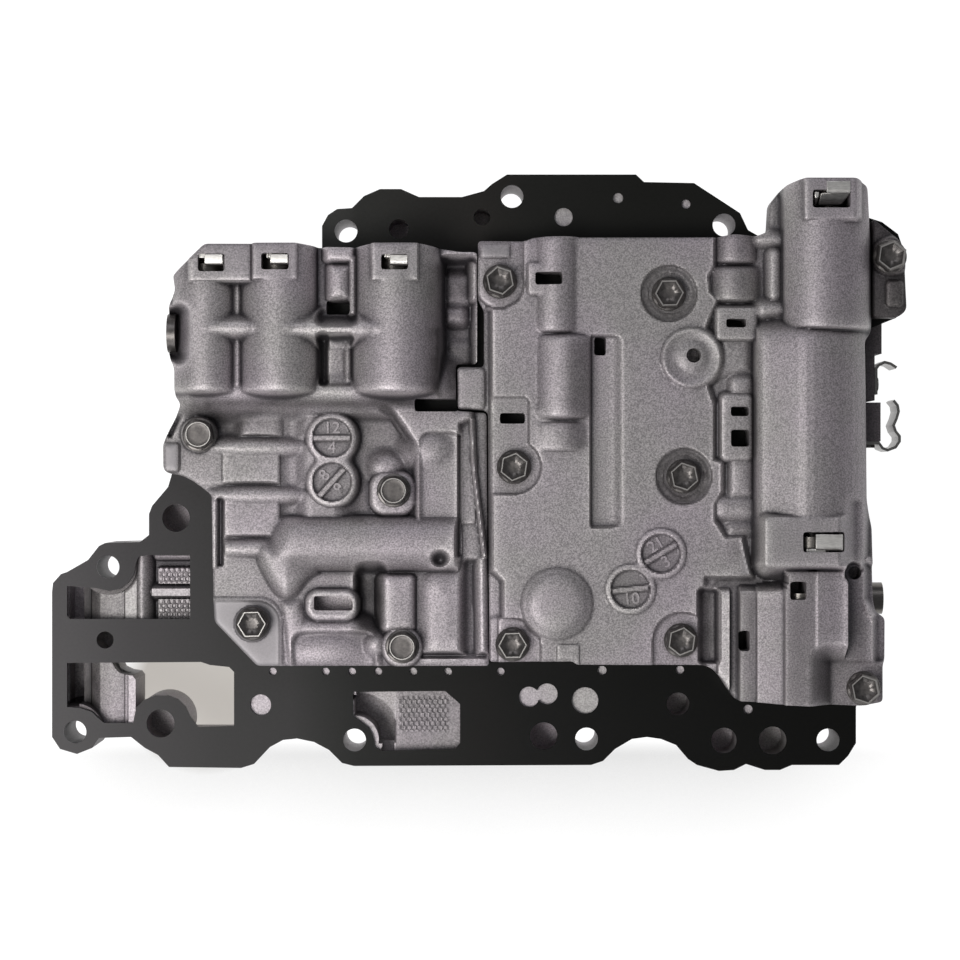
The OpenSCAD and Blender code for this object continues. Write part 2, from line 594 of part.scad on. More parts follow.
// Housing round a bore, cut off level with the plate
module housing(i) {
    y0 = min(mouth_y(i), mouth_y(i) - valve_shares[i][3] * (bore_l(i) + wall_t / 2));
    y1 = max(mouth_y(i), mouth_y(i) - valve_shares[i][3] * (bore_l(i) + wall_t / 2));
    r = housing_shares[i] * cell;
    intersection() {
        along_y(valve_x(i), y0, y1, axis_z - housing_drop, 2 * r);
        translate([valve_x(i) - r, y0, plate_top]) cube([2 * r, y1 - y0, 2 * cast_h]);
    }
}

module left_casting() {
    color("#8f8b8a") difference() {
        union() {
            prism(left_shares, plate_top, rise(left_deck_share));
            prism(left_valve_block_shares, plate_top, rise(left_valve_deck_share));
            for (i = [0:2]) housing(i);
            for (b = left_form_shares) brick(b, plate_top, rise(b[4]));
            left_passage();
            obround(slot_boss_share, plate_top, rise(slot_boss_share[4]));
            for (p = [hex_bolt_shares[0], hex_bolt_shares[2], flange_bolt_shares[7]])
                post(at(p), bolt_flange_d + wall_t / 2, plate_top, seat_z);
            for (k = [0, 1]) translate([0, 0, rise(left_form_shares[10][4])]) dial(dial_shares[k]);
            end_boss();
        }
        for (b = left_cut_shares) brick(b, rise(b[4]), rise(1));
        obround(slot_cut_share, rise(slot_cut_share[4]), rise(1));
        for (i = [0:2]) valve_cut(i);
        for (p = [hex_bolt_shares[0], hex_bolt_shares[1], hex_bolt_shares[2], flange_bolt_shares[7]])
            casting_bolt_room(p);
        for (p = [dowel_shares[0], dowel_shares[1]]) dowel_hole(p);
        thread_hole(underside_shares[0]);
        side_plug_bore();
    }
}

// Room for a bolt: its shank hole and the seat cut level over its flange
module casting_bolt_room(p) {
    post(at(p), bolt_d + 2 * bolt_clear, plate_top - over, seat_z + over);
    post(at(p), bolt_flange_d + 2 * face_gap, seat_z, seat_z + cast_h);
}

module dowel_hole(p) {
    post(at(p), dowel_d + 2 * fit, plate_top - over, plate_z + dowel_l / 2 + fit);
}

module thread_hole(p) {
    post(at(p), bolt_d + 2 * fit, plate_top - over, flange_z + underside_l + over);
}

// Long raised oil passage with a taper at its left end
module left_passage() {
    s = left_passage_share;
    a = at([s[0], s[2]]);
    b = at([s[1], s[2]]);
    r = s[3] * cell;
    z = rise(s[4]) - r;
    t = at([left_cone_share[0], left_cone_share[1]]);
    intersection() {
        union() {
            translate([a[0] + r, a[1], z]) rotate([0, 90, 0]) cylinder(r = r, h = b[0] - a[0] - r);
            translate([a[0] + r, a[1], z]) sphere(r = r);
            translate([a[0] + r, a[1], z]) rotate([90, 0, 0])
                cylinder(r1 = r, r2 = left_cone_share[2] * cell, h = a[1] - t[1]);
        }
        translate([a[0], t[1], plate_top]) cube([b[0] - a[0], 2 * r + a[1] - t[1], cast_h]);
    }
}

// Boss on the left side round the plug of a drilled passage
module end_boss() {
    p = at(end_boss_share);
    r = end_boss_share[2] * cell;
    intersection() {
        translate([p[0], p[1], plate_top + r]) rotate([0, 90, 0]) cylinder(r = r, h = wall_t);
        translate([p[0], p[1] - r, plate_top]) cube([wall_t, 2 * r, 2 * r]);
    }
}

module side_plug_bore() {
    p = at(end_boss_share);
    translate([p[0] - over, p[1], plate_top + end_boss_share[2] * cell]) rotate([0, 90, 0])
        cylinder(d = side_plug_d + 2 * fit, h = side_plug_l + over + fit);
}

module right_casting() {
    color("#8a8686") difference() {
        union() {
            prism(right_shares, plate_top, rise(right_base_share));
            prism(right_deck_shares, plate_top, rise(right_deck_share));
            housing(4);
            bar_along_y(main_section_shares, [main_span_share, valve_shares[3][1]]);
            for (b = right_form_shares) brick(b, plate_top, rise(b[4]));
            for (h = right_hump_shares) hump(h);
            for (d = right_disc_shares) post(at(d), 2 * d[2] * cell, plate_top, rise(d[3]));
            bar_along_y(lube_section_shares, lube_span_share);
            for (k = [2, 3]) translate([0, 0, rise(right_deck_share)]) dial(dial_shares[k]);
        }
        for (b = right_cut_shares) brick(b, rise(b[4]), rise(1));
        for (i = [3:5]) valve_cut(i);
        for (k = [0:6]) casting_bolt_room(flange_bolt_shares[k]);
        for (p = right_seat_shares) post(at(p), 2 * p[2] * cell, seat_z, rise(1));
        for (p = [dowel_shares[2], dowel_shares[3]]) dowel_hole(p);
        for (p = [underside_shares[1], underside_shares[2]]) thread_hole(p);
        post(at(right_hole_share), right_hole_d, rise(right_deck_share / 2), rise(1));
        post(at(vent_share), vent_d, rise(right_deck_share / 2), rise(1));
    }
}

// A half round hump along Y, level with the plate below
module hump(h) {
    a = at([h[0], h[2]]);
    b = at([h[0], h[1]]);
    r = h[3] * cell;
    top = rise(h[4]);
    intersection() {
        along_y(a[0], a[1], b[1], top - r, 2 * r);
        translate([a[0] - r, a[1], plate_top]) cube([2 * r, b[1] - a[1], cast_h]);
    }
    translate([a[0] - r, a[1], plate_top]) cube([2 * r, b[1] - a[1], max(top - r - plate_top, over)]);
}

// A bar along Y between two grid lines: its section gives heights as shares over x
module bar_along_y(section_shares, span) {
    y0 = at([0, span[1]])[1];
    y1 = at([0, span[0]])[1];
    section = [for (p = section_shares) [at([p[0], 0])[0], p[1] * cast_h]];
    translate([0, y1, plate_top]) rotate([90, 0, 0]) linear_extrude(height = y1 - y0) polygon(section);
}

module side_casting() {
    color("#8a8786") difference() {
        union() {
            prism(side_shares, plate_top, rise(side_deck_share));
            for (b = side_form_shares) brick(b, plate_top, rise(b[4]));
        }
        casting_bolt_room(flange_bolt_shares[8]);
    }
}

// Bolt with a washer flange and a dished hexagon head
module flange_bolt(l) {
    hex_d = bolt_flats / cos(30);
    difference() {
        union() {
            cylinder(d = bolt_flange_d, h = bolt_flange_t);
            cylinder(d = hex_d, h = bolt_head_h, $fn = 6);
        }
        translate([0, 0, bolt_head_h - bolt_dish])
            cylinder(d1 = bolt_flats / 2, d2 = bolt_flats - bolt_dish / 2, h = bolt_dish + fit);
    }
    translate([0, 0, -l]) cylinder(d = bolt_d, h = l);
}

// Bolt with a flat topped hexagon head, its corners turned off to a circle
module hex_bolt(l) {
    hex_d = bolt_flats / cos(30);
    intersection() {
        cylinder(d = hex_d, h = bolt_head_h, $fn = 6);
        translate([0, 0, -bolt_head_h]) cylinder(d1 = hex_d + 4 * bolt_dish, d2 = bolt_flats - bolt_dish,
            h = 2 * bolt_head_h);
    }
    cylinder(d = bolt_flange_d, h = bolt_flange_t / 2);
    translate([0, 0, -l]) cylinder(d = bolt_d, h = l);
}

module flange_bolts() {
    color("#4a4644") for (p = flange_bolt_shares) translate([at(p)[0], at(p)[1], seat_z]) flange_bolt(bolt_l);
}

module hex_bolts() {
    color("#55504c") for (p = hex_bolt_shares) translate([at(p)[0], at(p)[1], seat_z]) hex_bolt(bolt_l);
}

module underside_bolts() {
    color("#55504c") for (p = underside_shares) translate([at(p)[0], at(p)[1], flange_z]) mirror([0, 0, 1])
        flange_bolt(0);
    color("#55504c") for (p = underside_shares) post(at(p), bolt_d, flange_z, flange_z + underside_l);
}

module dowel_pins() {
    color("#b8b8b8") for (p = dowel_shares) post(at(p), dowel_d, plate_z - dowel_l / 2, plate_z + dowel_l / 2);
}

module check_balls() {
    color("#c8c8c8") for (p = ball_shares)
        translate([low(p)[0], low(p)[1], plate_z - channel_depth + ball_d / 2 + fit]) sphere(d = ball_d);
}

module passage_plug() {
    p = at(end_boss_share);
    color("#a8a8a8") translate([p[0], p[1], plate_top + end_boss_share[2] * cell]) rotate([0, 90, 0])
        difference() {
            cylinder(d = side_plug_d, h = side_plug_l);
            translate([0, 0, -over]) cylinder(d = side_plug_d - strip_t * 2, h = side_plug_l - strip_t + over);
        }
}

// Manual valve: lands on a rod, with a groove and hook at its outer end
module manual_valve() {
    r = manual_d / 2 - valve_fit;
    waist = waist_share * r;
    l = manual_l;
    lands = [for (b = manual_land_shares) each [[waist, b[0] * l], [r, b[0] * l], [r, b[1] * l],
        [waist, b[1] * l]]];
    profile = concat([[0, 0]], lands, [[waist, manual_eye_share * l], [r, manual_eye_share * l], [r, l], [0, l]]);
    mouth = low([manual_x_share, manual_y_share]);
    color("#b4b0ac") translate([mouth[0] + manual_rest - l, mouth[1], manual_z]) rotate([0, 90, 0])
        rotate_extrude() polygon(profile);
}

// Solenoid: can, neck groove for the bracket, nose, and connector shell at the far end
module solenoid(x, y, side, l) {
    p = low([x, y]);
    groove = bracket_t + 2 * fit;
    profile = [[0, -nose_l], [nose_d / 2, -nose_l], [nose_d / 2, face_gap], [neck_share * can_d / 2, face_gap],
        [neck_share * can_d / 2, face_gap + groove], [can_d / 2, face_gap + groove], [can_d / 2, l],
        [0, l]];
    translate([p[0], p[1], can_z]) rotate([side * 90, 0, 0]) {
        rotate_extrude() polygon(profile);
        translate([-nose_d / 2, -nose_d / 4, l - over]) cube([nose_d, nose_d / 2, wall_t + over]);
    }
}

// Bracket: a strap bolted under the block, its end bent up into the solenoid groove
module bracket(x, y, side) {
    p = low([x, y]);
    reach = bracket_hold + bolt_flange_d / 2;
    translate([p[0], p[1], 0]) rotate([0, 0, side > 0 ? 0 : 180]) difference() {
        union() {
            translate([-bracket_w / 2, -face_gap - bracket_t - fit, block_z - bracket_t])
                cube([bracket_w, reach, bracket_t]);
            translate([-bracket_w / 2, -face_gap - bracket_t - fit, block_z - bracket_t])
                cube([bracket_w, bracket_t, can_z - block_z + bracket_t - neck_share * can_d / 2 - fit]);
        }
        translate([0, bracket_hold, block_z - bracket_t - over])
            cylinder(d = bolt_d + 2 * bolt_clear, h = bracket_t + 2 * over);
    }
}

module solenoid_brackets() {
    color("#9a9890") {
        for (x = linear_x_shares) bracket(x, front_share, 1);
        for (x = shift_x_shares) bracket(x, rear_share, -1);
    }
}

module bracket_bolt(x, y, side) {
    p = low([x, y]);
    translate([p[0], p[1] + side * bracket_hold, block_z - bracket_t]) mirror([0, 0, 1]) {
        cylinder(d = bolt_flats / cos(30), h = bracket_head_h, $fn = 6);
        translate([0, 0, -bracket_bolt_l]) cylinder(d = bolt_d, h = bracket_bolt_l);
    }
}
bracket_head_h = 4;

module bracket_bolts() {
    color("#55504c") {
        for (x = linear_x_shares) bracket_bolt(x, front_share, 1);
        for (x = shift_x_shares) bracket_bolt(x, rear_share, -1);
    }
}

// A strip that stands on edge along a line of points, its two sides mitred
function heading(a, b) = (b - a) / norm(b - a);
function strip_side(line, off) = [for (k = [0:len(line) - 1])
    let (last = len(line) - 1)
    let (d0 = heading(line[max(k - 1, 0)], line[max(k, 1)]))
    let (d1 = heading(line[min(k, last - 1)], line[min(k + 1, last)]))
    let (normal = [-d0[1] - d1[1], d0[0] + d1[0]] / norm(d0 + d1))
    line[k] + off / (normal[1] * d0[0] - normal[0] * d0[1]) * normal];

module strip(shares, z0) {
    line = [for (p = shares) low(p)];
    near = strip_side(line, strip_t / 2);
    far = strip_side(line, -strip_t / 2);
    translate([0, 0, z0]) linear_extrude(height = strip_w)
        polygon(concat(near, [for (k = [len(far) - 1:-1:0]) far[k]]));
}

module upper_clip() {
    color("#a8a6a4") difference() {
        strip(upper_clip_shares, clip_z);
        rivet(0, rivet_d + 2 * fit, 0);
    }
}

module lower_clip() {
    color("#a8a6a4") difference() {
        strip(lower_clip_shares, clip_z);
        rivet(1, rivet_d + 2 * fit, 0);
    }
}

// Rivet k through its clip: the first runs along X, the second along Y
module rivet(k, d, head_d) {
    p = low(rivet_shares[k]);
    translate([p[0], p[1], clip_z + strip_w / 2]) rotate(k == 0 ? [0, 90, 0] : [90, 0, 0]) {
        translate([0, 0, strip_t / 2 - rivet_l]) cylinder(d = d, h = rivet_l + fit);
        translate([0, 0, strip_t / 2 + fit]) cylinder(d = head_d, h = rivet_head_h);
    }
}

module clip_rivets() {
    color("#a8a6a4") for (k = [0, 1]) rivet(k, rivet_d, rivet_head_d);
}

lower_casting();
separator_plate();
left_casting();
right_casting();
side_casting();
color("#b4b0ac") spool(0);  // shift_valve_1
color("#b4b0ac") spool(1);  // shift_valve_2
color("#b4b0ac") spool(2);  // shift_valve_3
color("#b4b0ac") spool(3);  // regulator_valve
color("#b4b0ac") spool(4);  // modulator_valve
color("#b4b0ac") spool(5);  // lubrication_valve
manual_valve();
color("#8a8a8a") coil(0);  // shift_spring_1
color("#8a8a8a") coil(1);  // shift_spring_2
color("#8a8a8a") coil(2);  // shift_spring_3
color("#8a8a8a") coil(3);  // regulator_spring
color("#8a8a8a") coil(4);  // modulator_spring
color("#8a8a8a") coil(5);  // lubrication_spring
color("#9a9896") plug(0);  // shift_plug_1
color("#9a9896") plug(1);  // shift_plug_2
color("#9a9896") plug(2);  // shift_plug_3
color("#9a9896") plug(3);  // regulator_plug
color("#9a9896") plug(4);  // modulator_plug
color("#9a9896") plug(5);  // lubrication_plug
color("#d0cecb") for (i = [0:4]) retainer_key(i);  // retainer_keys
flange_bolts();
hex_bolts();
underside_bolts();
dowel_pins();
check_balls();
passage_plug();
color("#3a3a3a") solenoid(linear_x_shares[0], front_share, 1, can_l);  // linear_solenoid_1
color("#3a3a3a") solenoid(linear_x_shares[1], front_share, 1, can_l);  // linear_solenoid_2
color("#3a3a3a") solenoid(linear_x_shares[2], front_share, 1, can_l);  // linear_solenoid_3
color("#3a3a3a") solenoid(linear_x_shares[3], front_share, 1, can_l);  // linear_solenoid_4
color("#3a3a3a") solenoid(shift_x_shares[0], rear_share, -1, shift_can_l);  // shift_solenoid_1
color("#3a3a3a") solenoid(shift_x_shares[1], rear_share, -1, shift_can_l);  // shift_solenoid_2
solenoid_brackets();
bracket_bolts();
upper_clip();
lower_clip();
clip_rivets();
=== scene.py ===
"""Transmission valve body: two grainy die-cast valve castings and a side casting bolted over a
black coated separator plate and a channel casting. Lengths are in metres, in the frame's axes."""
import math

import bmesh
import bpy
import numpy as np
from mathutils import Matrix, Vector


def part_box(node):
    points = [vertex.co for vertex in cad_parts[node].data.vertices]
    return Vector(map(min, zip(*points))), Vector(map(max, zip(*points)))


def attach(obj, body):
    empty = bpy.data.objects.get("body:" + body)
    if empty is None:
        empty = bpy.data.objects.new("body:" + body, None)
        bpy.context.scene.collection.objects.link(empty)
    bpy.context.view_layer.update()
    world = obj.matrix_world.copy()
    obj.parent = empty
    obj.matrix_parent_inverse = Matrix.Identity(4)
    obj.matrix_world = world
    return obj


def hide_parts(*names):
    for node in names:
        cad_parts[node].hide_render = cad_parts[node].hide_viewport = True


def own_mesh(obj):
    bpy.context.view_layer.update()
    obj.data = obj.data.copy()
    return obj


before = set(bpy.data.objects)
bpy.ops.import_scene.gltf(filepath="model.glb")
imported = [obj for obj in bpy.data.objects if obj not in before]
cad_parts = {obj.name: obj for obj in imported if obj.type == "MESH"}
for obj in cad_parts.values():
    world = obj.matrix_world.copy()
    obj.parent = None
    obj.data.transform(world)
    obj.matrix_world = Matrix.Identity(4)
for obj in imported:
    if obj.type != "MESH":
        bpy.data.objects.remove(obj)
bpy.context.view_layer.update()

# Studio and layout. The real one lies on a white table under a camera that looks straight
# down. Places are read on a layout of squares over the body: u runs right and v runs down
# from the corner of the view, and squares at the plate are larger than at the bolt heads.
MM = 0.001
SQUARE = 317 / 872 * MM
PLATE_SCALE = 1.0163
BACK = 7.26 * SQUARE * PLATE_SCALE
VIEW_CENTRE = 480
HEAD_Z = 70 * MM
CAMERA_DISTANCE = 950 * MM
SENSOR = 36
PICTURE = 960


def spot(u, v, scale=1.0):
    """Layout squares to metres, on the plane whose squares are scale times those at the bolt heads."""
    return (u - VIEW_CENTRE) * SQUARE * scale, (VIEW_CENTRE - v) * SQUARE * scale - BACK


def linear(code):
    """An sRGB hex colour as linear RGB with alpha 1."""
    parts = [int(code[k:k + 2], 16) / 255 for k in (1, 3, 5)]
    return [c / 12.92 if c <= 0.04045 else ((c + 0.055) / 1.055) ** 2.4 for c in parts] + [1]


def add_node(tree, kind, links=None, **settings):
    """Adds a node, sets its inputs or properties by name and joins its inputs to outputs."""
    made = tree.nodes.new(kind)
    for name, value in settings.items():
        key = int(name[1:]) if name[0] == "i" and name[1:].isdigit() else name.replace("_", " ")
        if isinstance(key, int) or key in made.inputs:
            made.inputs[key].default_value = value
        else:
            setattr(made, name, value)
    for name, output in (links or {}).items():
        tree.links.new(output, made.inputs[name])
    return made


def new_material(name):
    """A material with its shader, and its tree ready for nodes."""
    material = bpy.data.materials.new(name)
    material.use_nodes = True
    return material, material.node_tree, material.node_tree.nodes["Principled BSDF"]


def aim(obj, target):
    """Turns a lamp to face a place."""
    obj.rotation_euler = (Vector(target) - obj.location).to_track_quat("-Z", "Y").to_euler()


camera = bpy.data.objects.new("camera", bpy.data.cameras.new("camera"))
camera.location = (0, -BACK, HEAD_Z + CAMERA_DISTANCE)
camera.data.sensor_width = SENSOR
camera.data.lens = SENSOR * CAMERA_DISTANCE / (PICTURE * SQUARE)
camera.data.clip_end = 10
bpy.context.scene.collection.objects.link(camera)
bpy.context.scene.camera = camera
bpy.context.scene.view_settings.view_transform = "Standard"

# name: place, width, height, power and colour of each soft box
LAMPS = {
    "key_left": ((-0.45, -0.34, 1.05), 0.6, 0.6, 11.5, "#fffefc"),
    "top_back": ((-0.1, 0.75, 0.9), 0.8, 0.4, 2.2, "#f8f9ff"),
    "front_low": ((-0.3, -0.95, 0.5), 0.8, 0.4, 2.6, "#ffffff"),
}
for lamp_name, (place, wide, high, power, colour) in LAMPS.items():
    lamp = bpy.data.objects.new(lamp_name, bpy.data.lights.new(lamp_name, "AREA"))
    lamp.data.shape = "RECTANGLE"
    lamp.data.size = wide
    lamp.data.size_y = high
    lamp.data.energy = power
    lamp.data.color = linear(colour)[:3]
    lamp.location = place
    aim(lamp, (0, 0, 0.05))
    bpy.context.scene.collection.objects.link(lamp)

world = bpy.data.worlds.new("studio")
world.use_nodes = True
bpy.context.scene.world = world
world.node_tree.nodes["Background"].inputs["Color"].default_value = linear("#8d8f92")
world.node_tree.nodes["Background"].inputs["Strength"].default_value = 0.72

FLOOR_HALF = 3.0
FLOOR_WHITE = 0.82
floor_mesh = bpy.data.meshes.new("floor")
floor_mesh.from_pydata([(x, y, 0) for x, y in ((-FLOOR_HALF, -FLOOR_HALF), (FLOOR_HALF, -FLOOR_HALF),
                                              (FLOOR_HALF, FLOOR_HALF), (-FLOOR_HALF, FLOOR_HALF))],
                       [], [(0, 1, 2, 3)])
floor = bpy.data.objects.new("floor", floor_mesh)
bpy.context.scene.collection.objects.link(floor)
table_white, tree, shader = new_material("table_white")
shader.inputs["Base Color"].default_value = linear("#f0f0f0")
shader.inputs["Roughness"].default_value = 0.9
rays = add_node(tree, "ShaderNodeLightPath")
seen = add_node(tree, "ShaderNodeMath", {0: rays.outputs["Is Camera Ray"],
                                         1: rays.outputs["Is Glossy Ray"]},
                operation="MAXIMUM")
# Painted shadows in the floor's white: an ambient-occlusion band paints a soft contact shadow below the
# body's front edge, and a cream patch paints the shade under the open lower left pocket.
place = add_node(tree, "ShaderNodeTexCoord").outputs["Object"]
axes = add_node(tree, "ShaderNodeSeparateXYZ", {0: place})
near = add_node(tree, "ShaderNodeMapRange", {0: axes.outputs["Y"]}, interpolation_type="SMOOTHSTEP",
                From_Min=-0.101, From_Max=-0.111, To_Min=0.0, To_Max=1.0)
shade = add_node(tree, "ShaderNodeAmbientOcclusion", Distance=0.07, samples=12)
dim = add_node(tree, "ShaderNodeMapRange", {0: shade.outputs["AO"]}, From_Min=0.3, From_Max=1.0,
               To_Min=0.45,
               To_Max=0.96)
contact_shadow = add_node(tree, "ShaderNodeMix", {0: near.outputs[0], 3: dim.outputs[0]}, data_type="FLOAT", i2=1.0)
well = add_node(tree, "ShaderNodeVectorMath", {0: place}, operation="SUBTRACT", i1=(-0.1075, -0.084, 0))
inside = add_node(tree, "ShaderNodeVectorMath", {0: well.outputs[0]}, operation="LENGTH")
well_shadow_mask = add_node(tree, "ShaderNodeMapRange", {0: inside.outputs["Value"]}, From_Min=0.024, From_Max=0.034,
                 To_Min=1.0, To_Max=0.0)
painted_well_shadow = add_node(tree, "ShaderNodeMix", {0: well_shadow_mask.outputs[0]}, data_type="RGBA", i6=(1, 1, 1, 1),
                 i7=linear("#b7b2ac"))
bright = add_node(tree, "ShaderNodeVectorMath", {0: painted_well_shadow.outputs[2]}, operation="SCALE")
tree.links.new(contact_shadow.outputs[0], bright.inputs["Scale"])
white = add_node(tree, "ShaderNodeEmission", {0: bright.outputs[0]}, Strength=1.22)
share = add_node(tree, "ShaderNodeMath", {0: seen.outputs[0]}, operation="MULTIPLY", i1=FLOOR_WHITE)
mixed = add_node(tree, "ShaderNodeMixShader", {0: share.outputs[0], 1: shader.outputs[0],
                                               2: white.outputs[0]})
tree.links.new(mixed.outputs[0], tree.nodes["Material Output"].inputs["Surface"])
floor_mesh.materials.append(table_white)

# Left valve casting. The real one is a die-cast aluminium block with three valve housings
# side by side, ribs, wells and an oil passage; its top is left as cast, its pads are milled.
PLATE_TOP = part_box("separator_plate")[1][2]
CLEAR_Z = PLATE_TOP + 60 * MM
WELD = 1e-7


def fall(d, edge, slope):
    """Drop of a rounded edge and its steep side: half the slope times d plus the root of d
    squared and edge squared, so it is near nothing inside and a straight draft outside."""
    return slope * 0.5 * (d + np.sqrt(d * d + edge * edge))


def blend_up(a, b, width):
    """Larger of two surfaces with a fillet of the given width where they cross."""
    mix = np.clip(0.5 + 0.5 * (a - b) / width, 0, 1)
    return b + (a - b) * mix + width * mix * (1 - mix)


def blend_down(a, b, width):
    """Smaller of two surfaces, with the same fillet."""
    return -blend_up(-a, -b, width)


def box_distance(u, v, box, corner=0.0):
    """Signed distance in millimetres to a box in squares, with corners of a radius in mm."""
    size = SQUARE / MM
    du = np.abs(u - (box[0] + box[2]) / 2) * size - (box[2] - box[0]) / 2 * size + corner
    dv = np.abs(v - (box[1] + box[3]) / 2) * size - (box[3] - box[1]) / 2 * size + corner
    outside = np.hypot(np.maximum(du, 0), np.maximum(dv, 0))
    return outside + np.minimum(np.maximum(du, dv), 0) - corner


def disc_distance(u, v, centre, radius):
    """Signed distance in millimetres to a disc, its centre and radius in squares."""
    return (np.hypot(u - centre[0], v - centre[1]) - radius) * SQUARE / MM


def line_distance(u, v, start, end, radius):
    """Signed distance in millimetres to a round-ended bar between two points."""
    du, dv = end[0] - start[0], end[1] - start[1]
    along = np.clip(((u - start[0]) * du + (v - start[1]) * dv) / (du * du + dv * dv), 0, 1)
    return (np.hypot(u - start[0] - along * du, v - start[1] - along * dv) - radius) * SQUARE / MM


def oval_distance(u, v, centre, half_u, half_v):
    """Rough signed distance in millimetres to an upright oval, true along its short axis."""
    around = np.hypot((u - centre[0]) / half_u, (v - centre[1]) / half_v)
    return (around - 1) * min(half_u, half_v) * SQUARE / MM


def outline_distance(u, v, points):
    """Signed distance in millimetres to a closed outline, negative inside: the nearest edge,
    with the sign from how often a line to the left crosses the outline."""
    best = np.full(u.shape, 1e9)
    inside = np.zeros(u.shape, bool)
    for (au, av), (bu, bv) in zip(points, points[1:] + points[:1]):
        du, dv = bu - au, bv - av
        along = np.clip(((u - au) * du + (v - av) * dv) / (du * du + dv * dv + 1e-12), 0, 1)
        best = np.minimum(best, np.hypot(u - au - along * du, v - av - along * dv))
        if av != bv:
            crosses = (av > v) != (bv > v)
            inside ^= crosses & (u < au + (v - av) * du / dv)
    return np.where(inside, -best, best) * SQUARE / MM


def raised(h, d, top, edge=0.5, fillet=0.8, slope=4.0):
    """Surface h with a pad of height top where d is negative."""
    return blend_up(h, top - fall(d, edge, slope), fillet)


def sunk(h, d, floor_h, edge=0.5, fillet=0.8, slope=4.0):
    """Surface h with a well of depth floor_h where d is negative."""
    return blend_down(h, floor_h + fall(d, edge, slope), fillet)


def housing(h, u, v, middle, span, radius, crest, fillet=1.0, lean=0.0):
    """Half round housing along v: a circle of the radius in squares under its crest, carried
    straight down past its sides, closed at both ends of the span."""
    size = SQUARE / MM
    across = (u - middle - lean * (v - span[0])) * size
    r = radius * size
    bent = np.minimum(np.abs(across), 0.96 * r)
    arch = crest - r + np.sqrt(r * r - bent * bent) - 5.0 * np.maximum(np.abs(across) - 0.96 * r, 0)
    ends = np.maximum(span[0] - v, v - span[1]) * size
    return blend_up(h, arch - fall(ends, 0.6, 4.0), fillet)


def rounded(points, radius, steps=5):
    """Outline with each corner cut by a short curve: points of a quadratic arc from and to
    the two neighbouring edges."""
    corners = np.array(points, float)
    out = []
    for before, here, after in zip(np.roll(corners, 1, 0), corners, np.roll(corners, -1, 0)):
        a, b = before - here, after - here
        la, lb = np.hypot(*a), np.hypot(*b)
        start = here + a / la * min(radius, la / 2.2)
        end = here + b / lb * min(radius, lb / 2.2)
        for t in np.linspace(0, 1, steps):
            out.append(tuple((1 - t) ** 2 * start + 2 * t * (1 - t) * here + t * t * end))
    return out


def mesh_object(name, verts, faces):
    """A new object at the origin from arrays of points and faces."""
    mesh = bpy.data.meshes.new(name)
    mesh.from_pydata([tuple(p) for p in verts], [], [tuple(f) for f in faces])
    mesh.update()
    obj = bpy.data.objects.new(name, mesh)
    bpy.context.scene.collection.objects.link(obj)
    return obj


def block_from_heights(name, u, v, height, low_z):
    """Closed block under a grid of heights in mm over the plate: a top grid, a flat bottom
    grid edge and four walls."""
    rows, cols = u.shape
    x, y = spot(u, v)
    top = np.stack([x, y, PLATE_TOP + height * MM], -1).reshape(-1, 3)
    bottom = top.copy()
    bottom[:, 2] = low_z
    count = rows * cols
    index = np.arange(count).reshape(rows, cols)
    a, b, c, d = index[:-1, :-1], index[:-1, 1:], index[1:, 1:], index[1:, :-1]
    quads = np.stack([a, d, c, b], -1).reshape(-1, 4)
    rim = np.concatenate([index[0, :-1], index[:-1, -1], index[-1, :0:-1], index[:0:-1, 0]])
    skirt = np.arange(len(rim)) + count
    after = np.roll(np.arange(len(rim)), -1)
    walls = np.stack([rim, rim[after], skirt[after], skirt], -1)
    verts = np.concatenate([top, bottom[rim]])
    mesh = bpy.data.meshes.new(name)
    loops = np.concatenate([quads.ravel(), walls.ravel(), skirt])
    starts = np.concatenate([np.arange(len(quads) + len(walls)) * 4, [4 * (len(quads) + len(walls))]])
    totals = np.concatenate([np.full(len(quads) + len(walls), 4), [len(skirt)]])
    mesh.vertices.add(len(verts))
    mesh.vertices.foreach_set("co", verts.ravel())
    mesh.loops.add(len(loops))
    mesh.loops.foreach_set("vertex_index", loops.astype(np.int32))
    mesh.polygons.add(len(starts))
    mesh.polygons.foreach_set("loop_start", starts.astype(np.int32))
    mesh.polygons.foreach_set("loop_total", totals.astype(np.int32))
    mesh.update(calc_edges=True)
    mesh.validate()
    obj = bpy.data.objects.new(name, mesh)
    bpy.context.scene.collection.objects.link(obj)
    return obj


def prism(name, outline, z0, z1, scale=1.0):
    """Closed prism over an outline in squares between two heights in metres."""
    ring = [spot(pu, pv, scale) for pu, pv in outline]
    count = len(ring)
    verts = [(x, y, z) for z in (z0, z1) for x, y in ring]
    faces = [tuple(range(count)), tuple(range(2 * count - 1, count - 1, -1))]
    faces += [(k, k + count, (k + 1) % count + count, (k + 1) % count) for k in range(count)]
    return mesh_object(name, verts, faces)


def face_out(obj, weld=False):
    """Turns every face outwards, after points that lie together are joined where asked."""
    work = bmesh.new()
    work.from_mesh(obj.data)
    if weld:
        bmesh.ops.remove_doubles(work, verts=work.verts, dist=WELD)
    bmesh.ops.recalc_face_normals(work, faces=work.faces)
    work.to_mesh(obj.data)
    work.free()


def cylinder(name, start, end, radius, sides=48):
    """Closed cylinder between two points, in metres."""
    a, b = Vector(start), Vector(end)
    axis = (b - a).normalized()
    side = axis.orthogonal().normalized()
    other = axis.cross(side)
    turn = np.linspace(0, 2 * math.pi, sides, endpoint=False)
    ring = [side * math.cos(t) * radius + other * math.sin(t) * radius for t in turn]
    verts = [tuple(p + r) for p in (a, b) for r in ring]
    faces = [tuple(range(sides)), tuple(range(2 * sides - 1, sides - 1, -1))]
    faces += [(k, k + sides, (k + 1) % sides + sides, (k + 1) % sides) for k in range(sides)]
    return mesh_object(name, verts, faces)


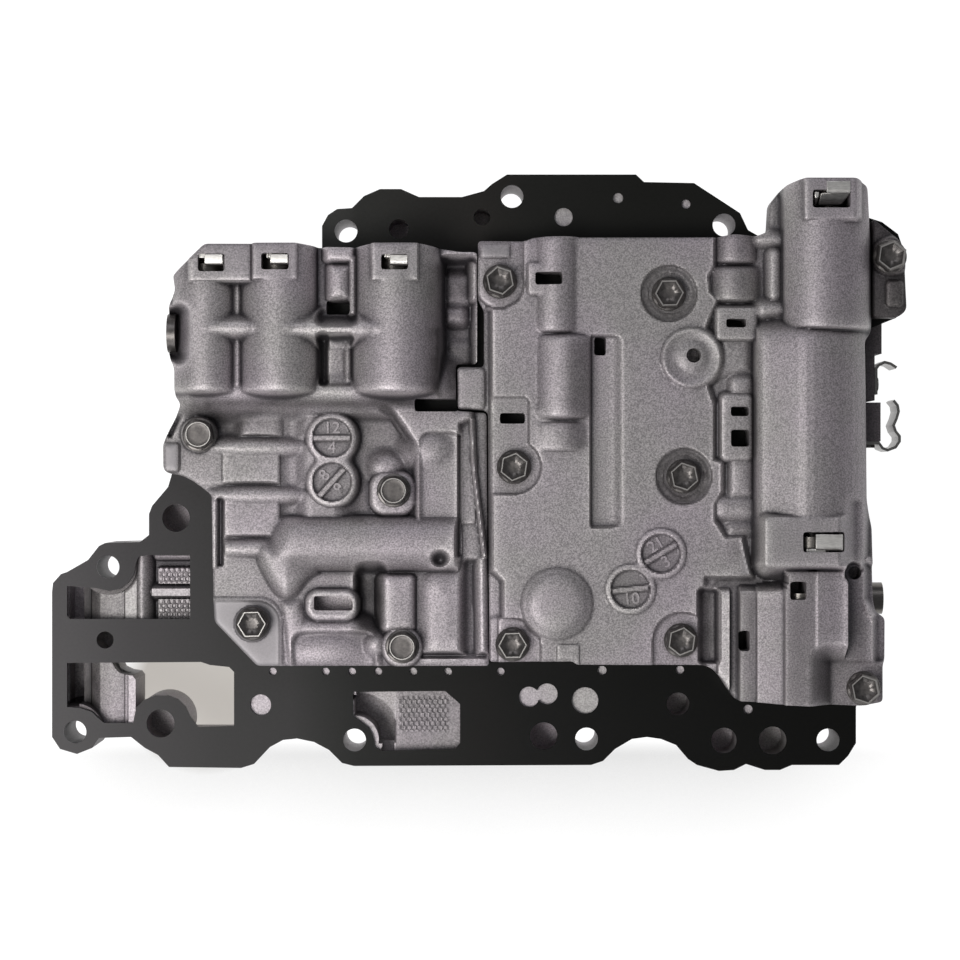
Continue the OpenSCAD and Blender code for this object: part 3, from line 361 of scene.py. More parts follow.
def carve(obj, tools, operation):
    """Applies one boolean with all the tool objects and removes them."""
    for tool in tools:
        face_out(tool)
        cut = obj.modifiers.new("cut", "BOOLEAN")
        cut.operation = operation
        cut.solver = "MANIFOLD"
        cut.object = tool
    graph = bpy.context.evaluated_depsgraph_get()
    result = bpy.data.meshes.new_from_object(obj.evaluated_get(graph))
    obj.modifiers.clear()
    old = obj.data
    obj.data = result
    bpy.data.meshes.remove(old)
    for tool in tools:
        bpy.data.objects.remove(tool)


def smooth(obj, angle=32):
    """Smooth shading with edges sharper than the angle left sharp."""
    obj.data.polygons.foreach_set("use_smooth", np.ones(len(obj.data.polygons), bool))
    obj.data.set_sharp_from_angle(angle=math.radians(angle))


def layout_grid(box, pitch):
    """Arrays of u and v over a box in squares, with a pitch in millimetres."""
    size = SQUARE / MM
    cols = int(round((box[2] - box[0]) * size / pitch)) + 1
    rows = int(round((box[3] - box[1]) * size / pitch)) + 1
    return np.meshgrid(np.linspace(box[0], box[2], cols), np.linspace(box[1], box[3], rows))


LEFT_OUTLINE = [(175, 273), (189, 258), (204, 243.5), (252, 243.5), (253, 242.5), (297, 242.5), (322, 248),
                (355, 248), (373, 242.5), (417, 242.5), (461, 252), (477, 252), (477, 364), (456, 364),
                (456, 411),
                (486.5, 413), (487.5, 577), (489, 666), (257, 666), (214.5, 622), (213, 599), (211.5, 495),
                (193, 481), (182, 475.5), (167, 473), (163, 468), (163, 444), (168, 432), (180.5, 404),
                (175, 396), (174, 368), (169, 356), (166.5, 342), (166.5, 322), (169.5, 303), (175, 290),
                (173, 276)]


def left_heights(u, v):
    """Height of the left casting over the plate in mm: a low deck, three half round housings
    on a higher block, then ribs, wells, pads and rings raised or sunk one after another."""
    h = np.full(u.shape, 9.0)
    # lower part: flat deck pads with long ribs, and a shallow valley before the dials' plateau
    h = raised(h, box_distance(u, v, (300, 412, 462, 520), 4), 11.4, 1.6, 2.0, 1.1)
    hollow = outline_distance(u, v, [(353, 404), (388, 404), (402, 428), (416, 450), (418, 522), (352, 522),
                                     (352, 462)])
    h = sunk(h, hollow, 6.6, 3.0, 2.0, 0.9)
    h = raised(h, line_distance(u, v, (278, 407), (460, 409), 5), 12.4, 0.8, 1.2, 2.0)
    h = sunk(h, box_distance(u, v, (283, 414, 296, 520), 1.5), 7.6, 1.6, 1.6, 0.9)
    h = raised(h, box_distance(u, v, (222, 452, 279.5, 488), 1.0), 10.1, 0.35, 0.4, 3.5)
    h = raised(h, box_distance(u, v, (219, 500, 279.5, 536), 1.0), 10.0, 0.35, 0.4, 3.5)
    h = sunk(h, box_distance(u, v, (205, 412, 279, 440), 2), 3.0, 0.8, 1.0, 2.2)
    h = raised(h, box_distance(u, v, (243, 414, 279.5, 438), 1.5), 9.6, 1.2, 1.2, 0.9)
    for middle_v, long in ((447.5, 33), (495.5, 33), (548.5, 34)):
        h = sunk(h, oval_distance(u, v, (252, middle_v - 7.5), long - 4, 3.0), 7.0, 0.8, 0.8, 2.2)
        h = raised(h, oval_distance(u, v, (256, middle_v), long, 5.6), 11.6, 1.0, 1.0, 1.7)
    h = sunk(h, line_distance(u, v, (220, 502), (220, 563), 1.3), 5.0, 0.4, 0.5, 4.0)
    h = raised(h, box_distance(u, v, (206, 499, 216.8, 569), 0.4), 10.4, 0.5, 0.4, 4.0)
    # upper right pad behind a curved step, a lower field inside it and its soft bump
    pad = outline_distance(u, v, [(386, 402), (402, 426), (415, 446), (418, 458), (418, 520), (462, 520),
                                  (472, 520), (470, 402)])
    h = raised(h, pad, 13.5, 0.7, 0.8, 2.6)
    h = sunk(h, line_distance(u, v, (384, 408), (400, 430), 1.6), 8.6, 0.6, 0.8, 2.2)
    h = sunk(h, line_distance(u, v, (400, 430), (413, 450), 1.6), 8.6, 0.6, 0.8, 2.2)
    h = sunk(h, box_distance(u, v, (421, 433.5, 459.3, 530), 3.5), 11.4, 0.5, 0.6, 2.4)
    h = raised(h, oval_distance(u, v, (430, 449), 14, 11), 13.6, 2.0, 1.6, 1.0)
    # long oil passage, flat on top, with a foot that narrows to a point
    foot = outline_distance(u, v, rounded([(257, 544), (258, 562), (273, 590), (284, 599), (296, 594),
                                           (307, 577),
                                           (322, 570), (322, 540)], 12, 6))
    h = blend_up(h, 14.8 - fall(foot + 1.0, 2.6, 2.4), 1.4)
    across = np.clip(np.abs(v - 543.8) / 28.6, 0, 1)
    ramp = 1 / (1 + np.exp(-(u - 272 + 0.35 * (v - 543)) / 5.5))
    arch = 6.5 + 10.0 * np.sqrt(1 - across ** 2.6) * ramp - 5.0 * np.maximum(u - 458, 0) * SQUARE / MM
    h = blend_up(h, arch, 1.4)
    h = sunk(h, disc_distance(u, v, (440, 560.5), 3.2), 9.5, 0.8, 0.8, 2.4)
    # valley between the passage, the slot boss and the bottom pads
    h = sunk(h, box_distance(u, v, (359, 572, 383, 634), 2.0), 2.0, 0.8, 1.4, 3.4)
    h = raised(h, outline_distance(u, v, [(292, 668), (283, 604), (298, 603), (304, 622), (352, 622),
                                          (372, 634),
                                          (380, 668)]), 10.8, 1.2, 1.2, 1.5)
    h = raised(h, box_distance(u, v, (306, 589.8, 357.5, 620), 4.6), 13.4, 0.5, 0.8, 7.0)
    h = sunk(h, box_distance(u, v, (310.5, 593.5, 355.5, 615), 3.2), 12.9, 0.3, 0.3, 3.0)
    h = sunk(h, outline_distance(u, v, rounded([(294, 680), (294, 640), (300, 634), (371, 634), (376, 680)],
                                               5)),
             8.2, 0.8, 1.0, 1.8)
    h = raised(h, oval_distance(u, v, (327, 651), 22, 11), 10.6, 2.4, 2.0, 0.9)
    h = raised(h, disc_distance(u, v, (376, 645), 6), 12.4, 1.5, 1.5, 1.5)
    h = raised(h, box_distance(u, v, (383.5, 576, 413.5, 630), 1.5), 13.0, 0.8, 1.0, 3.4)
    h = sunk(h, line_distance(u, v, (418, 578), (418, 622), 2.2), 9.6, 0.7, 1.0, 2.5)
    h = raised(h, box_distance(u, v, (425, 574, 468, 655), 5.0), 12.4, 3.0, 2.0, 1.4)
    h = sunk(h, box_distance(u, v, (466, 562, 478, 654), 1.0), 5.6, 0.8, 1.2, 2.2)
    h = raised(h, line_distance(u, v, (482, 560), (483.2, 652), 3.4), 11.0, 0.9, 1.0, 2.4)
    h = sunk(h, box_distance(u, v, (422, 654.5, 486, 657), 0.3), 7.0, 0.4, 0.5, 3.0)
    h = raised(h, box_distance(u, v, (424, 658.5, 500, 680), 0.5), 9.0, 0.6, 0.6, 2.5)
    # corner pad, milled flat inside a raised rim
    rim = box_distance(u, v, (180, 597.5, 283, 700), 9.0)
    h = raised(h, rim, 9.9, 0.4, 0.4, 3.0)
    h = sunk(h, rim + 1.3, 9.0, 0.3, 0.3, 3.0)
    # border strip and thin ridge along the right edge
    h = sunk(h, line_distance(u, v, (459.6, 436), (459.8, 555), 0.5), 8.6, 0.4, 0.5, 4.0)
    h = sunk(h, outline_distance(u, v, [(461.5, 425), (470, 421), (483, 553), (461.5, 553)]), 10.0, 0.5,
             0.8, 2.5)
    h = raised(h, line_distance(u, v, (471.8, 420), (474, 470), 0.9), 13.6, 0.4, 0.4, 4.0)
    h = raised(h, line_distance(u, v, (474, 470), (484.6, 556), 0.9), 13.0, 0.4, 0.4, 4.0)
    # seat bosses
    h = raised(h, oval_distance(u, v, (386, 466), 11, 9), 11.0, 1.4, 1.4, 1.2)
    h = raised(h, box_distance(u, v, (370.5, 472, 415, 515), 5.5), 12.0, 0.5, 0.8, 6.0)
    h = raised(h, disc_distance(u, v, (198.5, 434.5), 17.6), 12.0, 0.4, 0.6, 7.0)
    h = raised(h, disc_distance(u, v, (402, 647), 20), 12.0, 0.4, 0.7, 6.0)
    h = raised(h, disc_distance(u, v, (252, 624), 17.2), 12.0, 0.3, 0.4, 7.0)
    # milled pad and groove on the left lug
    h = sunk(h, line_distance(u, v, (181, 411), (170, 435), 1.2), 6.0, 0.35, 0.4, 4.0)
    h = raised(h, box_distance(u, v, (162.8, 443.5, 179, 471.5), 1.2), 10.6, 0.35, 0.4, 4.0)
    # date dials: a ring in the shape of an eight round two sunk discs with a bar
    ring = blend_down(disc_distance(u, v, (332, 438), 24.6), disc_distance(u, v, (332, 482), 24.6), 3.6)
    h = raised(h, ring, 12.9, 0.4, 0.7, 3.5)
    for centre, turn in (((332, 438), 0.0), ((332, 482), 48.0)):
        h = dial_face(h, u, v, centre, turn, 11.0, 12.5)
    # valve block with its three housings
    block = outline_distance(u, v, [(160, 230), (462, 230), (480, 252), (480, 262), (446, 262), (444, 394),
                                    (440, 398.5), (160, 398.5)])
    h = raised(h, block, 15.0, 0.9, 1.2, 3.0)
    h = sunk(h, box_distance(u, v, (444, 264, 473.5, 392), 1.5), 2.6, 0.8, 1.5, 3.4)
    h = raised(h, box_distance(u, v, (446, 276, 471, 304), 2.0), 6.6, 1.6, 1.6, 1.4)
    h = raised(h, box_distance(u, v, (446, 309, 464, 322), 1.5), 7.6, 1.2, 1.4, 1.6)
    h = raised(h, box_distance(u, v, (448, 343, 471, 388), 2.0), 4.6, 1.4, 1.6, 1.6)
    h = raised(h, box_distance(u, v, (472, 262, 479, 300), 0.6), 11.0, 0.8, 1.0, 3.0)
    h = raised(h, line_distance(u, v, (480, 304), (480, 364), 3.2), 9.5, 0.9, 1.0, 2.4)
    h = housing(h, u, v, 204, (240, 391), 32.0, 25.0, 1.2)
    h = housing(h, u, v, 278, (240, 391), 40.0, 27.6, 1.2)
    h = housing(h, u, v, 396, (238, 391), 44.5, 28.6, 1.4)
    h = raised(h, line_distance(u, v, (237.4, 285), (237.4, 384), 2.2), 20.4, 0.6, 0.8, 2.4)
    h = raised(h, line_distance(u, v, (190, 391), (436, 390.5), 5.5), 19.0, 1.5, 2.4, 1.3)
    bridge = np.maximum(oval_distance(u, v, (233, 327), 27, 6.0), box_distance(u, v, (204, 310, 262, 344)))
    h = raised(h, bridge, 25.6, 1.0, 1.2, 2.2)
    bridge = np.maximum(oval_distance(u, v, (334, 328), 54, 7.0), box_distance(u, v, (282, 310, 386, 346)))
    h = raised(h, bridge, 28.0, 1.0, 1.2, 2.4)
    # channel between the second and third housing
    h = sunk(h, box_distance(u, v, (321, 246, 353, 317), 1.0), 15.0, 0.8, 1.0, 3.5)
    h = raised(h, box_distance(u, v, (326, 247, 353, 260.5), 1.0), 22.0, 0.6, 0.8, 4.0)
    h = raised(h, box_distance(u, v, (328, 264, 351, 300), 1.6), 21.0, 1.4, 0.8, 4.0)
    h = raised(h, box_distance(u, v, (350, 256, 355, 314), 0.6), 21.6, 0.5, 0.6, 4.0)
    h = sunk(h, box_distance(u, v, (322, 338, 352, 386), 1.0), 15.6, 0.8, 1.0, 6.0)
    h = sunk(h, box_distance(u, v, (320, 338, 328, 384), 1.0), 11.0, 0.8, 0.8, 7.0)
    h = raised(h, box_distance(u, v, (345, 341, 351, 383), 1.0), 17.0, 0.8, 0.6, 3.0)
    # lip and crescent of the end boss, then the milled pads round the retainer windows
    h = sunk(h, line_distance(u, v, (173.6, 316), (173.6, 352), 3.4), 8.0, 0.6, 0.8, 3.0)
    h = raised(h, outline_distance(u, v, [(189, 258), (204, 243), (204, 200), (251, 200), (251, 281),
                                          (189, 281)]), 25.8, 0.3, 0.4, 5.0)
    h = raised(h, box_distance(u, v, (252.5, 200, 297, 279), 0.4), 27.3, 0.3, 0.6, 5.0)
    h = raised(h, box_distance(u, v, (372, 200, 418, 280), 0.4), 28.3, 0.3, 0.6, 5.0)
    return h


def left_tones(u, v):
    """Tone of the left casting: 1 is bright and smooth where milled, -1 is painted shade."""
    corner = box_distance(u, v, (180, 599.5, 281, 700), 8.0)
    lug = box_distance(u, v, (164, 443.5, 178.5, 471), 1.0)
    pads = np.minimum(box_distance(u, v, (205, 200, 251, 281)),
                      box_distance(u, v, (252.5, 200, 297, 279), 0.4))
    pads = np.minimum(pads, box_distance(u, v, (372, 200, 418, 280), 0.4))
    bright = np.where(np.minimum(corner, lug) < -0.3, 0.85, 0.0)
    bright = np.where(pads < -0.2, 0.2, bright)
    # painted shade in the two bolt seats and on the dial floors
    seat = np.minimum(disc_distance(u, v, (198.5, 434.5), 19), disc_distance(u, v, (252, 624), 18.5))
    dials = np.minimum(disc_distance(u, v, (332, 438), 18.6), disc_distance(u, v, (332, 482), 18.6))
    painted_shade = np.maximum(0.6 * np.clip(-seat / 1.5, 0, 1), 0.28 * np.clip(-dials / 0.4, 0, 1))
    # distance, darkness and softness in mm of each place of painted shade
    for d, dark, soft in (
            (box_distance(u, v, (356, 574, 384, 634), 2), 0.8, 2.0),
            (box_distance(u, v, (445, 262, 473, 392), 1), 0.5, 2.0),
            (outline_distance(u, v, [(205, 408), (262, 410), (240, 441), (222, 441)]), 0.8, 4.0),
            (box_distance(u, v, (204, 399.5, 418, 407), 1), 0.5, 1.2),
            (box_distance(u, v, (350, 620, 384, 640), 4), 0.5, 3.0),
            (outline_distance(u, v, [(350, 404), (388, 404), (402, 428), (416, 452), (398, 458), (372, 470),
                                     (366, 524),
                                     (352, 524)]), 0.4, 2.5),
            (line_distance(u, v, (384, 406), (413, 451), 5.5), 0.6, 1.6),
            (box_distance(u, v, (240, 418, 279, 442)), 0.25, 2.0),
            (box_distance(u, v, (316, 339, 329, 385), 1), 0.6, 2.0),
            (box_distance(u, v, (300, 336, 352, 343), 1), 0.3, 1.5),
            (line_distance(u, v, (173.6, 318), (173.6, 350), 3.6), 0.9, 0.8),
            (box_distance(u, v, (286, 552, 430, 576), 2), 0.4, 3.0),
            (line_distance(u, v, (418, 578), (418, 622), 3.5), 0.4, 1.2)):
        painted_shade = np.maximum(painted_shade, dark * np.clip(0.35 - d / soft, 0, 1))
    # painted shade on the third housing's right flank, deeper below v 328
    flank = (np.clip((u - 412) / 27, 0, 1) ** 1.4
             * np.clip(0.5 - box_distance(u, v, (405, 264, 442, 398)), 0, 1))
    painted_shade = np.maximum(painted_shade, flank * np.where(v > 328, 0.95, 0.65))
    return soften(bright - painted_shade * (bright < 0.1), 1)


def right_tones(u, v):
    """Tone of the right casting: painted shade in its two ring seats, round its other bolts, in its
    hollows and on its flanks and dials; its flats darker, its pad bright.
    """
    seats = np.minimum(disc_distance(u, v, (669, 293.5), 27.8), disc_distance(u, v, (684, 476.5), 27.8))
    others = np.minimum(disc_distance(u, v, (500, 281), 20), disc_distance(u, v, (514, 467), 20))
    others = np.minimum(others, np.minimum(disc_distance(u, v, (513, 645), 20),
                                           disc_distance(u, v, (682, 641.5), 20)))
    pad = box_distance(u, v, (480.3, 244, 510.3, 257.8), 1.0)
    flats = np.minimum(box_distance(u, v, (739.3, 591, 756, 705)),
                       box_distance(u, v, (784.6, 571.5, 816.5, 705)))
    flats = np.minimum(flats, box_distance(u, v, (816, 661, 890, 710)))
    flank = np.minimum(box_distance(u, v, (845, 574, 868, 663)),
                       box_distance(u, v, (713, 232, 760, 306), 2))
    tops = np.minimum(box_distance(u, v, (804.5, 160, 857, 219.5)),
                      box_distance(u, v, (764, 518, 852, 566)))
    # painted shade in the two ring seats, dark by the bolt's flange and at the seat's outer wall, and round
    # the other bolts
    near = np.hypot(u - np.where(v < 385, 669, 684), v - np.where(v < 385, 293.5, 476.5))
    rings = np.where(v < 385, np.interp(near, [16, 17.5, 19, 22.5, 24.5], [0.85, 0.85, 0.3, 0.4, 0.95]),
                     np.interp(near, [16.5, 18, 19.5, 22, 24, 25], [0.8, 0.98, 0.6, 0.62, 0.95, 0.95]))
    tone = -rings * np.clip(-seats / 1.2 + 0.3, 0, 1) - 0.6 * np.clip(-others / 1.5, 0, 1)
    # painted shade on the dial floors and flanks; the flats darker
    dials = np.minimum(disc_distance(u, v, (661, 553.5), 18.6), disc_distance(u, v, (630.5, 589.3), 18.6))
    tone = np.minimum(tone, -0.3 * np.clip(-dials / 0.4, 0, 1))
    tone = np.minimum(tone, -0.34 * np.clip(-flats / 0.4, 0, 1))
    tone = np.minimum(tone, -0.3 * np.clip(-flank / 1.0, 0, 1))
    # painted shade in hollows and valleys: distance, darkness and softness in mm of each
    for d, dark, soft in ((box_distance(u, v, (703, 592, 716, 662), 1), 0.55, 1.2),
                          (box_distance(u, v, (712, 578, 770, 590), 1), 0.3, 1.5),
                          (box_distance(u, v, (567, 338, 590, 450), 2), 0.4, 2.5),
                          (line_distance(u, v, (757, 350), (757, 520), 3.0), 0.45, 1.5),
                          (box_distance(u, v, (728, 524, 765, 560), 2), 0.3, 2.5),
                          (line_distance(u, v, (738, 596), (738, 664), 2.2), 0.6, 0.8),
                          (box_distance(u, v, (593, 338, 598, 526), 0.5), 0.35, 1.0)):
        tone = np.minimum(tone, -dark * np.clip(0.35 - d / soft, 0, 1))
    tone = np.where(tops < -0.2, 0.2, tone)
    chips = box_distance(u, v, (741, 537, 749.5, 575), 1.0)
    return soften(np.where(np.minimum(pad, chips) < -0.2, 0.7, tone), 1)


def dial_face(h, u, v, centre, turn, floor_h, bar_h):
    """A sunk disc crossed by a raised bar turned by some degrees."""
    h = sunk(h, disc_distance(u, v, centre, 19.0), floor_h, 0.15, 0.15, 6.0)
    c, s = math.cos(math.radians(turn)), math.sin(math.radians(turn))
    across = ((u - centre[0]) * s + (v - centre[1]) * c) * SQUARE / MM
    bar = np.maximum(np.abs(across) - 1.0, disc_distance(u, v, centre, 18.5))
    return raised(h, bar, bar_h, 0.12, 0.15, 6.0)


def build_casting(name, outline, heights, box, pitch, corner, cuts, tones=None):
    """A casting: the block under its heights, trimmed to its outline and cut. Its forms are
    read as the camera sees them, so each grid point looks up the place where its own height
    appears in the view."""
    u, v = layout_grid(box, pitch)
    corners = np.array(outline, float)
    rim = np.clip(heights(corners[:, 0], corners[:, 1]), 2, 31)
    shape = rounded(np.stack(raised_point(corners[:, 0], corners[:, 1], rim), -1), corner)
    h = heights(u, v)
    for _ in range(2):
        near = CAMERA_DISTANCE / (CAMERA_DISTANCE + HEAD_Z - PLATE_TOP - np.clip(h, 0, 31) * MM)
        seen_u, seen_v = VIEW_CENTRE + (u - VIEW_CENTRE) * near, VIEW_CENTRE + (v - VIEW_CENTRE) * near
        whole = heights(seen_u, seen_v)
        h = whole - fall(outline_distance(u, v, shape), 0.7, 2.2)
    obj = block_from_heights(name, u, v, np.maximum(h, 0.6), PLATE_TOP - 2 * MM)
    face_out(obj)
    carve(obj, [prism(name + "_trim", shape, PLATE_TOP + 0.02 * MM, CLEAR_Z)], "INTERSECT")
    carve(obj, cuts, "DIFFERENCE")
    smooth(obj)
    # the tone holds milled brightness and painted shade; the relief paints shade in hollows and a highlight
    # on raised edges, less on milled places
    finish = tones(seen_u, seen_v) if tones else np.zeros(u.shape)
    paint(obj, box, "relief", relief_of(whole, pitch) * (1 - np.clip(2 * finish, 0, 0.8)))
    paint(obj, box, "tone", finish)
    return obj


def soften(h, reach):
    """Mean of h over a square that reaches some grid steps each way, taken twice."""
    for axis in (0, 1, 0, 1):
        pad = [(reach + 1, reach) if k == axis else (0, 0) for k in (0, 1)]
        total = np.cumsum(np.pad(h, pad, mode="edge"), axis)
        count = h.shape[axis]
        ahead = np.take(total, np.arange(2 * reach + 1, 2 * reach + 1 + count), axis)
        h = (ahead - np.take(total, np.arange(count), axis)) / (2 * reach + 1)
    return h


def relief_of(h, pitch):
    """How far each place stands out of the surface round it, from -1 to 1: the height less its
    mean over a narrow and over a wide square."""
    narrow = np.clip(h - soften(h, max(1, round(0.8 / pitch))), -0.6, 0.6)
    wide = np.clip(h - soften(h, round(3.0 / pitch)), -2.0, 2.0)
    return np.clip(0.9 * narrow + 0.28 * wide, -1, 1)


def paint(obj, box, layer_name, field):
    """Stores a field over the grid on the points of an object, each read at its nearest place."""
    places = np.empty(3 * len(obj.data.vertices))
    obj.data.vertices.foreach_get("co", places)
    x, y = places[0::3], places[1::3]
    rows, cols = field.shape
    col = (x / SQUARE + VIEW_CENTRE - box[0]) / (box[2] - box[0]) * (cols - 1)
    row = (VIEW_CENTRE - (y + BACK) / SQUARE - box[1]) / (box[3] - box[1]) * (rows - 1)
    col = np.clip(np.round(col).astype(int), 0, cols - 1)
    row = np.clip(np.round(row).astype(int), 0, rows - 1)
    layer = obj.data.attributes.new(layer_name, "FLOAT", "POINT")
    layer.data.foreach_set("value", field[row, col].astype(np.float32))


def raised_point(u, v, h):
    """Layout place of something that the camera sees at u, v and that lies h mm over the plate."""
    far = (CAMERA_DISTANCE + HEAD_Z - PLATE_TOP - h * MM) / CAMERA_DISTANCE
    return VIEW_CENTRE + (u - VIEW_CENTRE) * far, VIEW_CENTRE + (v - VIEW_CENTRE) * far


def slot_cut(name, box, depth, seen_h):
    """A cutter with rounded corners over a box as seen at a height, from a depth over the plate."""
    (u0, v0), (u1, v1) = raised_point(box[0], box[1], seen_h), raised_point(box[2], box[3], seen_h)
    return prism(name, rounded([(u0, v0), (u1, v0), (u1, v1), (u0, v1)], 3, 4), PLATE_TOP + depth * MM,
                 CLEAR_Z)


def bore_cut(name, u, v0, v1, z, diameter):
    """A cutter for a bore along v at a height over the plate."""
    x0, y0 = spot(u, v0)
    x1, y1 = spot(u, v1)
    return cylinder(name, (x0, y0, PLATE_TOP + z * MM), (x1, y1, PLATE_TOP + z * MM), diameter / 2 * MM)


def post_cut(name, u, v, z0, diameter):
    """A cutter for an upright hole, from a height over the plate."""
    x, y = spot(u, v)
    return cylinder(name, (x, y, PLATE_TOP + z0 * MM), (x, y, CLEAR_Z), diameter / 2 * MM)


AXIS_H = 14.5
MATERIALS = {}


def cast_metal(name, dark, light, milled, painted_shade, metallic=0.5, rough=0.5, grain_mm=0.6, grain_lift=0.6):
    """Blasted die casting: a fine two-tone grain that also lifts the surface, a broad mottle,
    hollows darkened by painted shade and edges lightened by a painted highlight, machined places
    smooth and bright, and painted shade where the tone attribute is negative."""
    made, tree, shader = new_material(name)
    place = add_node(tree, "ShaderNodeTexCoord").outputs["Object"]
    grain = add_node(tree, "ShaderNodeTexNoise", {"Vector": place}, Scale=1 / (grain_mm * MM), Detail=3.0,
                     Roughness=0.7)
    patch = add_node(tree, "ShaderNodeTexNoise", {"Vector": place}, Scale=26.0, Detail=2.5)
    blotch = add_node(tree, "ShaderNodeTexNoise", {"Vector": place}, Scale=160.0, Detail=3.0)
    tone = add_node(tree, "ShaderNodeValToRGB", {0: grain.outputs[0]})
    tone.color_ramp.elements[0].position = 0.38
    tone.color_ramp.elements[0].color = linear(dark)
    tone.color_ramp.elements[1].position = 0.62
    tone.color_ramp.elements[1].color = linear(light)
    tint = add_node(tree, "ShaderNodeValToRGB", {0: patch.outputs[0]})
    tint.color_ramp.elements[0].position = 0.36
    tint.color_ramp.elements[0].color = linear("#f3f3ee")
    tint.color_ramp.elements[1].position = 0.62
    tint.color_ramp.elements[1].color = linear("#fff9fc")
    # tone attribute: bright where milled, painted shade where negative, the shade varied by a mottle
    work = add_node(tree, "ShaderNodeAttribute", attribute_name="tone").outputs["Fac"]
    bright = add_node(tree, "ShaderNodeMapRange", {0: work})
    dim = add_node(tree, "ShaderNodeMapRange", {0: work}, From_Min=0.0, From_Max=-1.0)
    shade_mottle = add_node(tree, "ShaderNodeMapRange", {0: blotch.outputs[0]}, From_Min=0.35, From_Max=0.6,
                     To_Min=0.75,
                     To_Max=1.0)
    painted_shade_amount = add_node(tree, "ShaderNodeMath", {0: dim.outputs[0], 1: shade_mottle.outputs[0]}, operation="MULTIPLY")

    def layered(kind, factor, under, over):
        made = add_node(tree, "ShaderNodeMix", data_type="RGBA", blend_type=kind)
        for socket, value in ((0, factor), (6, under), (7, over)):
            if isinstance(value, bpy.types.NodeSocket):
                tree.links.new(value, made.inputs[socket])
            else:
                made.inputs[socket].default_value = value
        return made.outputs[2]

    # painted shade in hollows and painted highlight on raised edges, from the relief attribute
    relief = add_node(tree, "ShaderNodeAttribute", attribute_name="relief")
    edge = add_node(tree, "ShaderNodeMapRange", {0: relief.outputs["Fac"]}, From_Min=-1.0)
    relief_shading = add_node(tree, "ShaderNodeValToRGB", {0: edge.outputs[0]})
    relief_shading.color_ramp.elements[0].color = linear("#6f6e72")
    relief_shading.color_ramp.elements.new(0.5).color = linear("#dddcde")
    relief_shading.color_ramp.elements[2].position = 0.9
    relief_shading.color_ramp.elements[2].color = (1.2, 1.2, 1.2, 1)
    colour = layered("MULTIPLY", 1.0, tone.outputs[0], tint.outputs[0])
    colour = layered("MIX", bright.outputs[0], colour, linear(milled))
    colour = layered("MIX", painted_shade_amount.outputs[0], colour, linear(painted_shade))
    colour = layered("MULTIPLY", 1.0, colour, relief_shading.outputs[0])
    tree.links.new(colour, shader.inputs["Base Color"])
    shader.inputs["Metallic"].default_value = metallic
    shader.inputs["Roughness"].default_value = rough
    steady = add_node(tree, "ShaderNodeMapRange", {0: bright.outputs[0]}, To_Min=grain_lift, To_Max=0.06)
    lift = add_node(tree, "ShaderNodeBump", {"Height": grain.outputs[0], "Strength": steady.outputs[0]},
                    Distance=0.16 * MM)
    tree.links.new(lift.outputs[0], shader.inputs["Normal"])
    MATERIALS[name] = made
    return made


def sheet_metal(name, dark, light, metallic, low_rough, high_rough, scale, stretch=(1, 1, 1), relief=0.1):
    """Plated, coated or turned metal: streaked tone and gloss from one stretched noise."""
    made, tree, shader = new_material(name)
    place = add_node(tree, "ShaderNodeTexCoord").outputs["Object"]
    mapped = add_node(tree, "ShaderNodeMapping", {"Vector": place}, Scale=stretch)
    streak = add_node(tree, "ShaderNodeTexNoise", {"Vector": mapped.outputs[0]}, Scale=scale, Detail=4.0,
                      Roughness=0.6)
    tone = add_node(tree, "ShaderNodeValToRGB", {0: streak.outputs[0]})
    tone.color_ramp.elements[0].position = 0.3
    tone.color_ramp.elements[0].color = linear(dark)
    tone.color_ramp.elements[1].position = 0.7
    tone.color_ramp.elements[1].color = linear(light)
    gloss = add_node(tree, "ShaderNodeMapRange", {0: streak.outputs[0]})
    gloss.inputs["To Min"].default_value = low_rough
    gloss.inputs["To Max"].default_value = high_rough
    tree.links.new(tone.outputs[0], shader.inputs["Base Color"])
    tree.links.new(gloss.outputs[0], shader.inputs["Roughness"])
    shader.inputs["Metallic"].default_value = metallic
    lift = add_node(tree, "ShaderNodeBump", {"Height": streak.outputs[0]}, Strength=relief,
                    Distance=0.05 * MM)
    tree.links.new(lift.outputs[0], shader.inputs["Normal"])
    MATERIALS[name] = made
    return made


cast_metal("cast_aluminium", "#817e80", "#b9b5b7", "#959293", "#353130")
# darker copy of the cast metal: painted shade for the side casting
cast_metal("cast_aluminium_shaded", "#454243", "#676364", "#8a8687", "#3a3636")
# lighter copy of the cast metal: painted light for the channel casting's shaded walls and pockets
cast_metal("cast_channel", "#a3a0a1", "#d2cfd0", "#959293", "#353130")
# lighter copy of the cast metal: painted highlight on the raised dial figures
cast_metal("cast_figure_highlit", "#938f91", "#bcb8ba", "#8a8687", "#3a3636")
sheet_metal("coated_plate", "#14110f", "#1b1816", 0.0, 0.3, 0.42, 900, relief=0.12)
sheet_metal("dark_steel", "#4d4a49", "#666260", 0.8, 0.3, 0.42, 700)
sheet_metal("bright_steel", "#a3a09c", "#c4c1bd", 1.0, 0.22, 0.34, 500, (1, 6, 1))
# lighter copy of the bright steel: painted highlight on the retainer keys
sheet_metal("highlit_steel", "#c4c1bd", "#e2dfdb", 1.0, 0.3, 0.42, 500, (1, 6, 1))
sheet_metal("clip_steel", "#6f6d6b", "#8f8d8a", 1.0, 0.25, 0.36, 500, (1, 6, 1))
sheet_metal("can_paint", "#1b1b1c", "#242425", 0.0, 0.4, 0.5, 600)
sheet_metal("turned_aluminium", "#5e5b58", "#77736f", 1.0, 0.25, 0.36, 900, (1, 8, 1))
sheet_metal("spring_wire", "#6f6d6b", "#8d8a87", 1.0, 0.25, 0.35, 700)

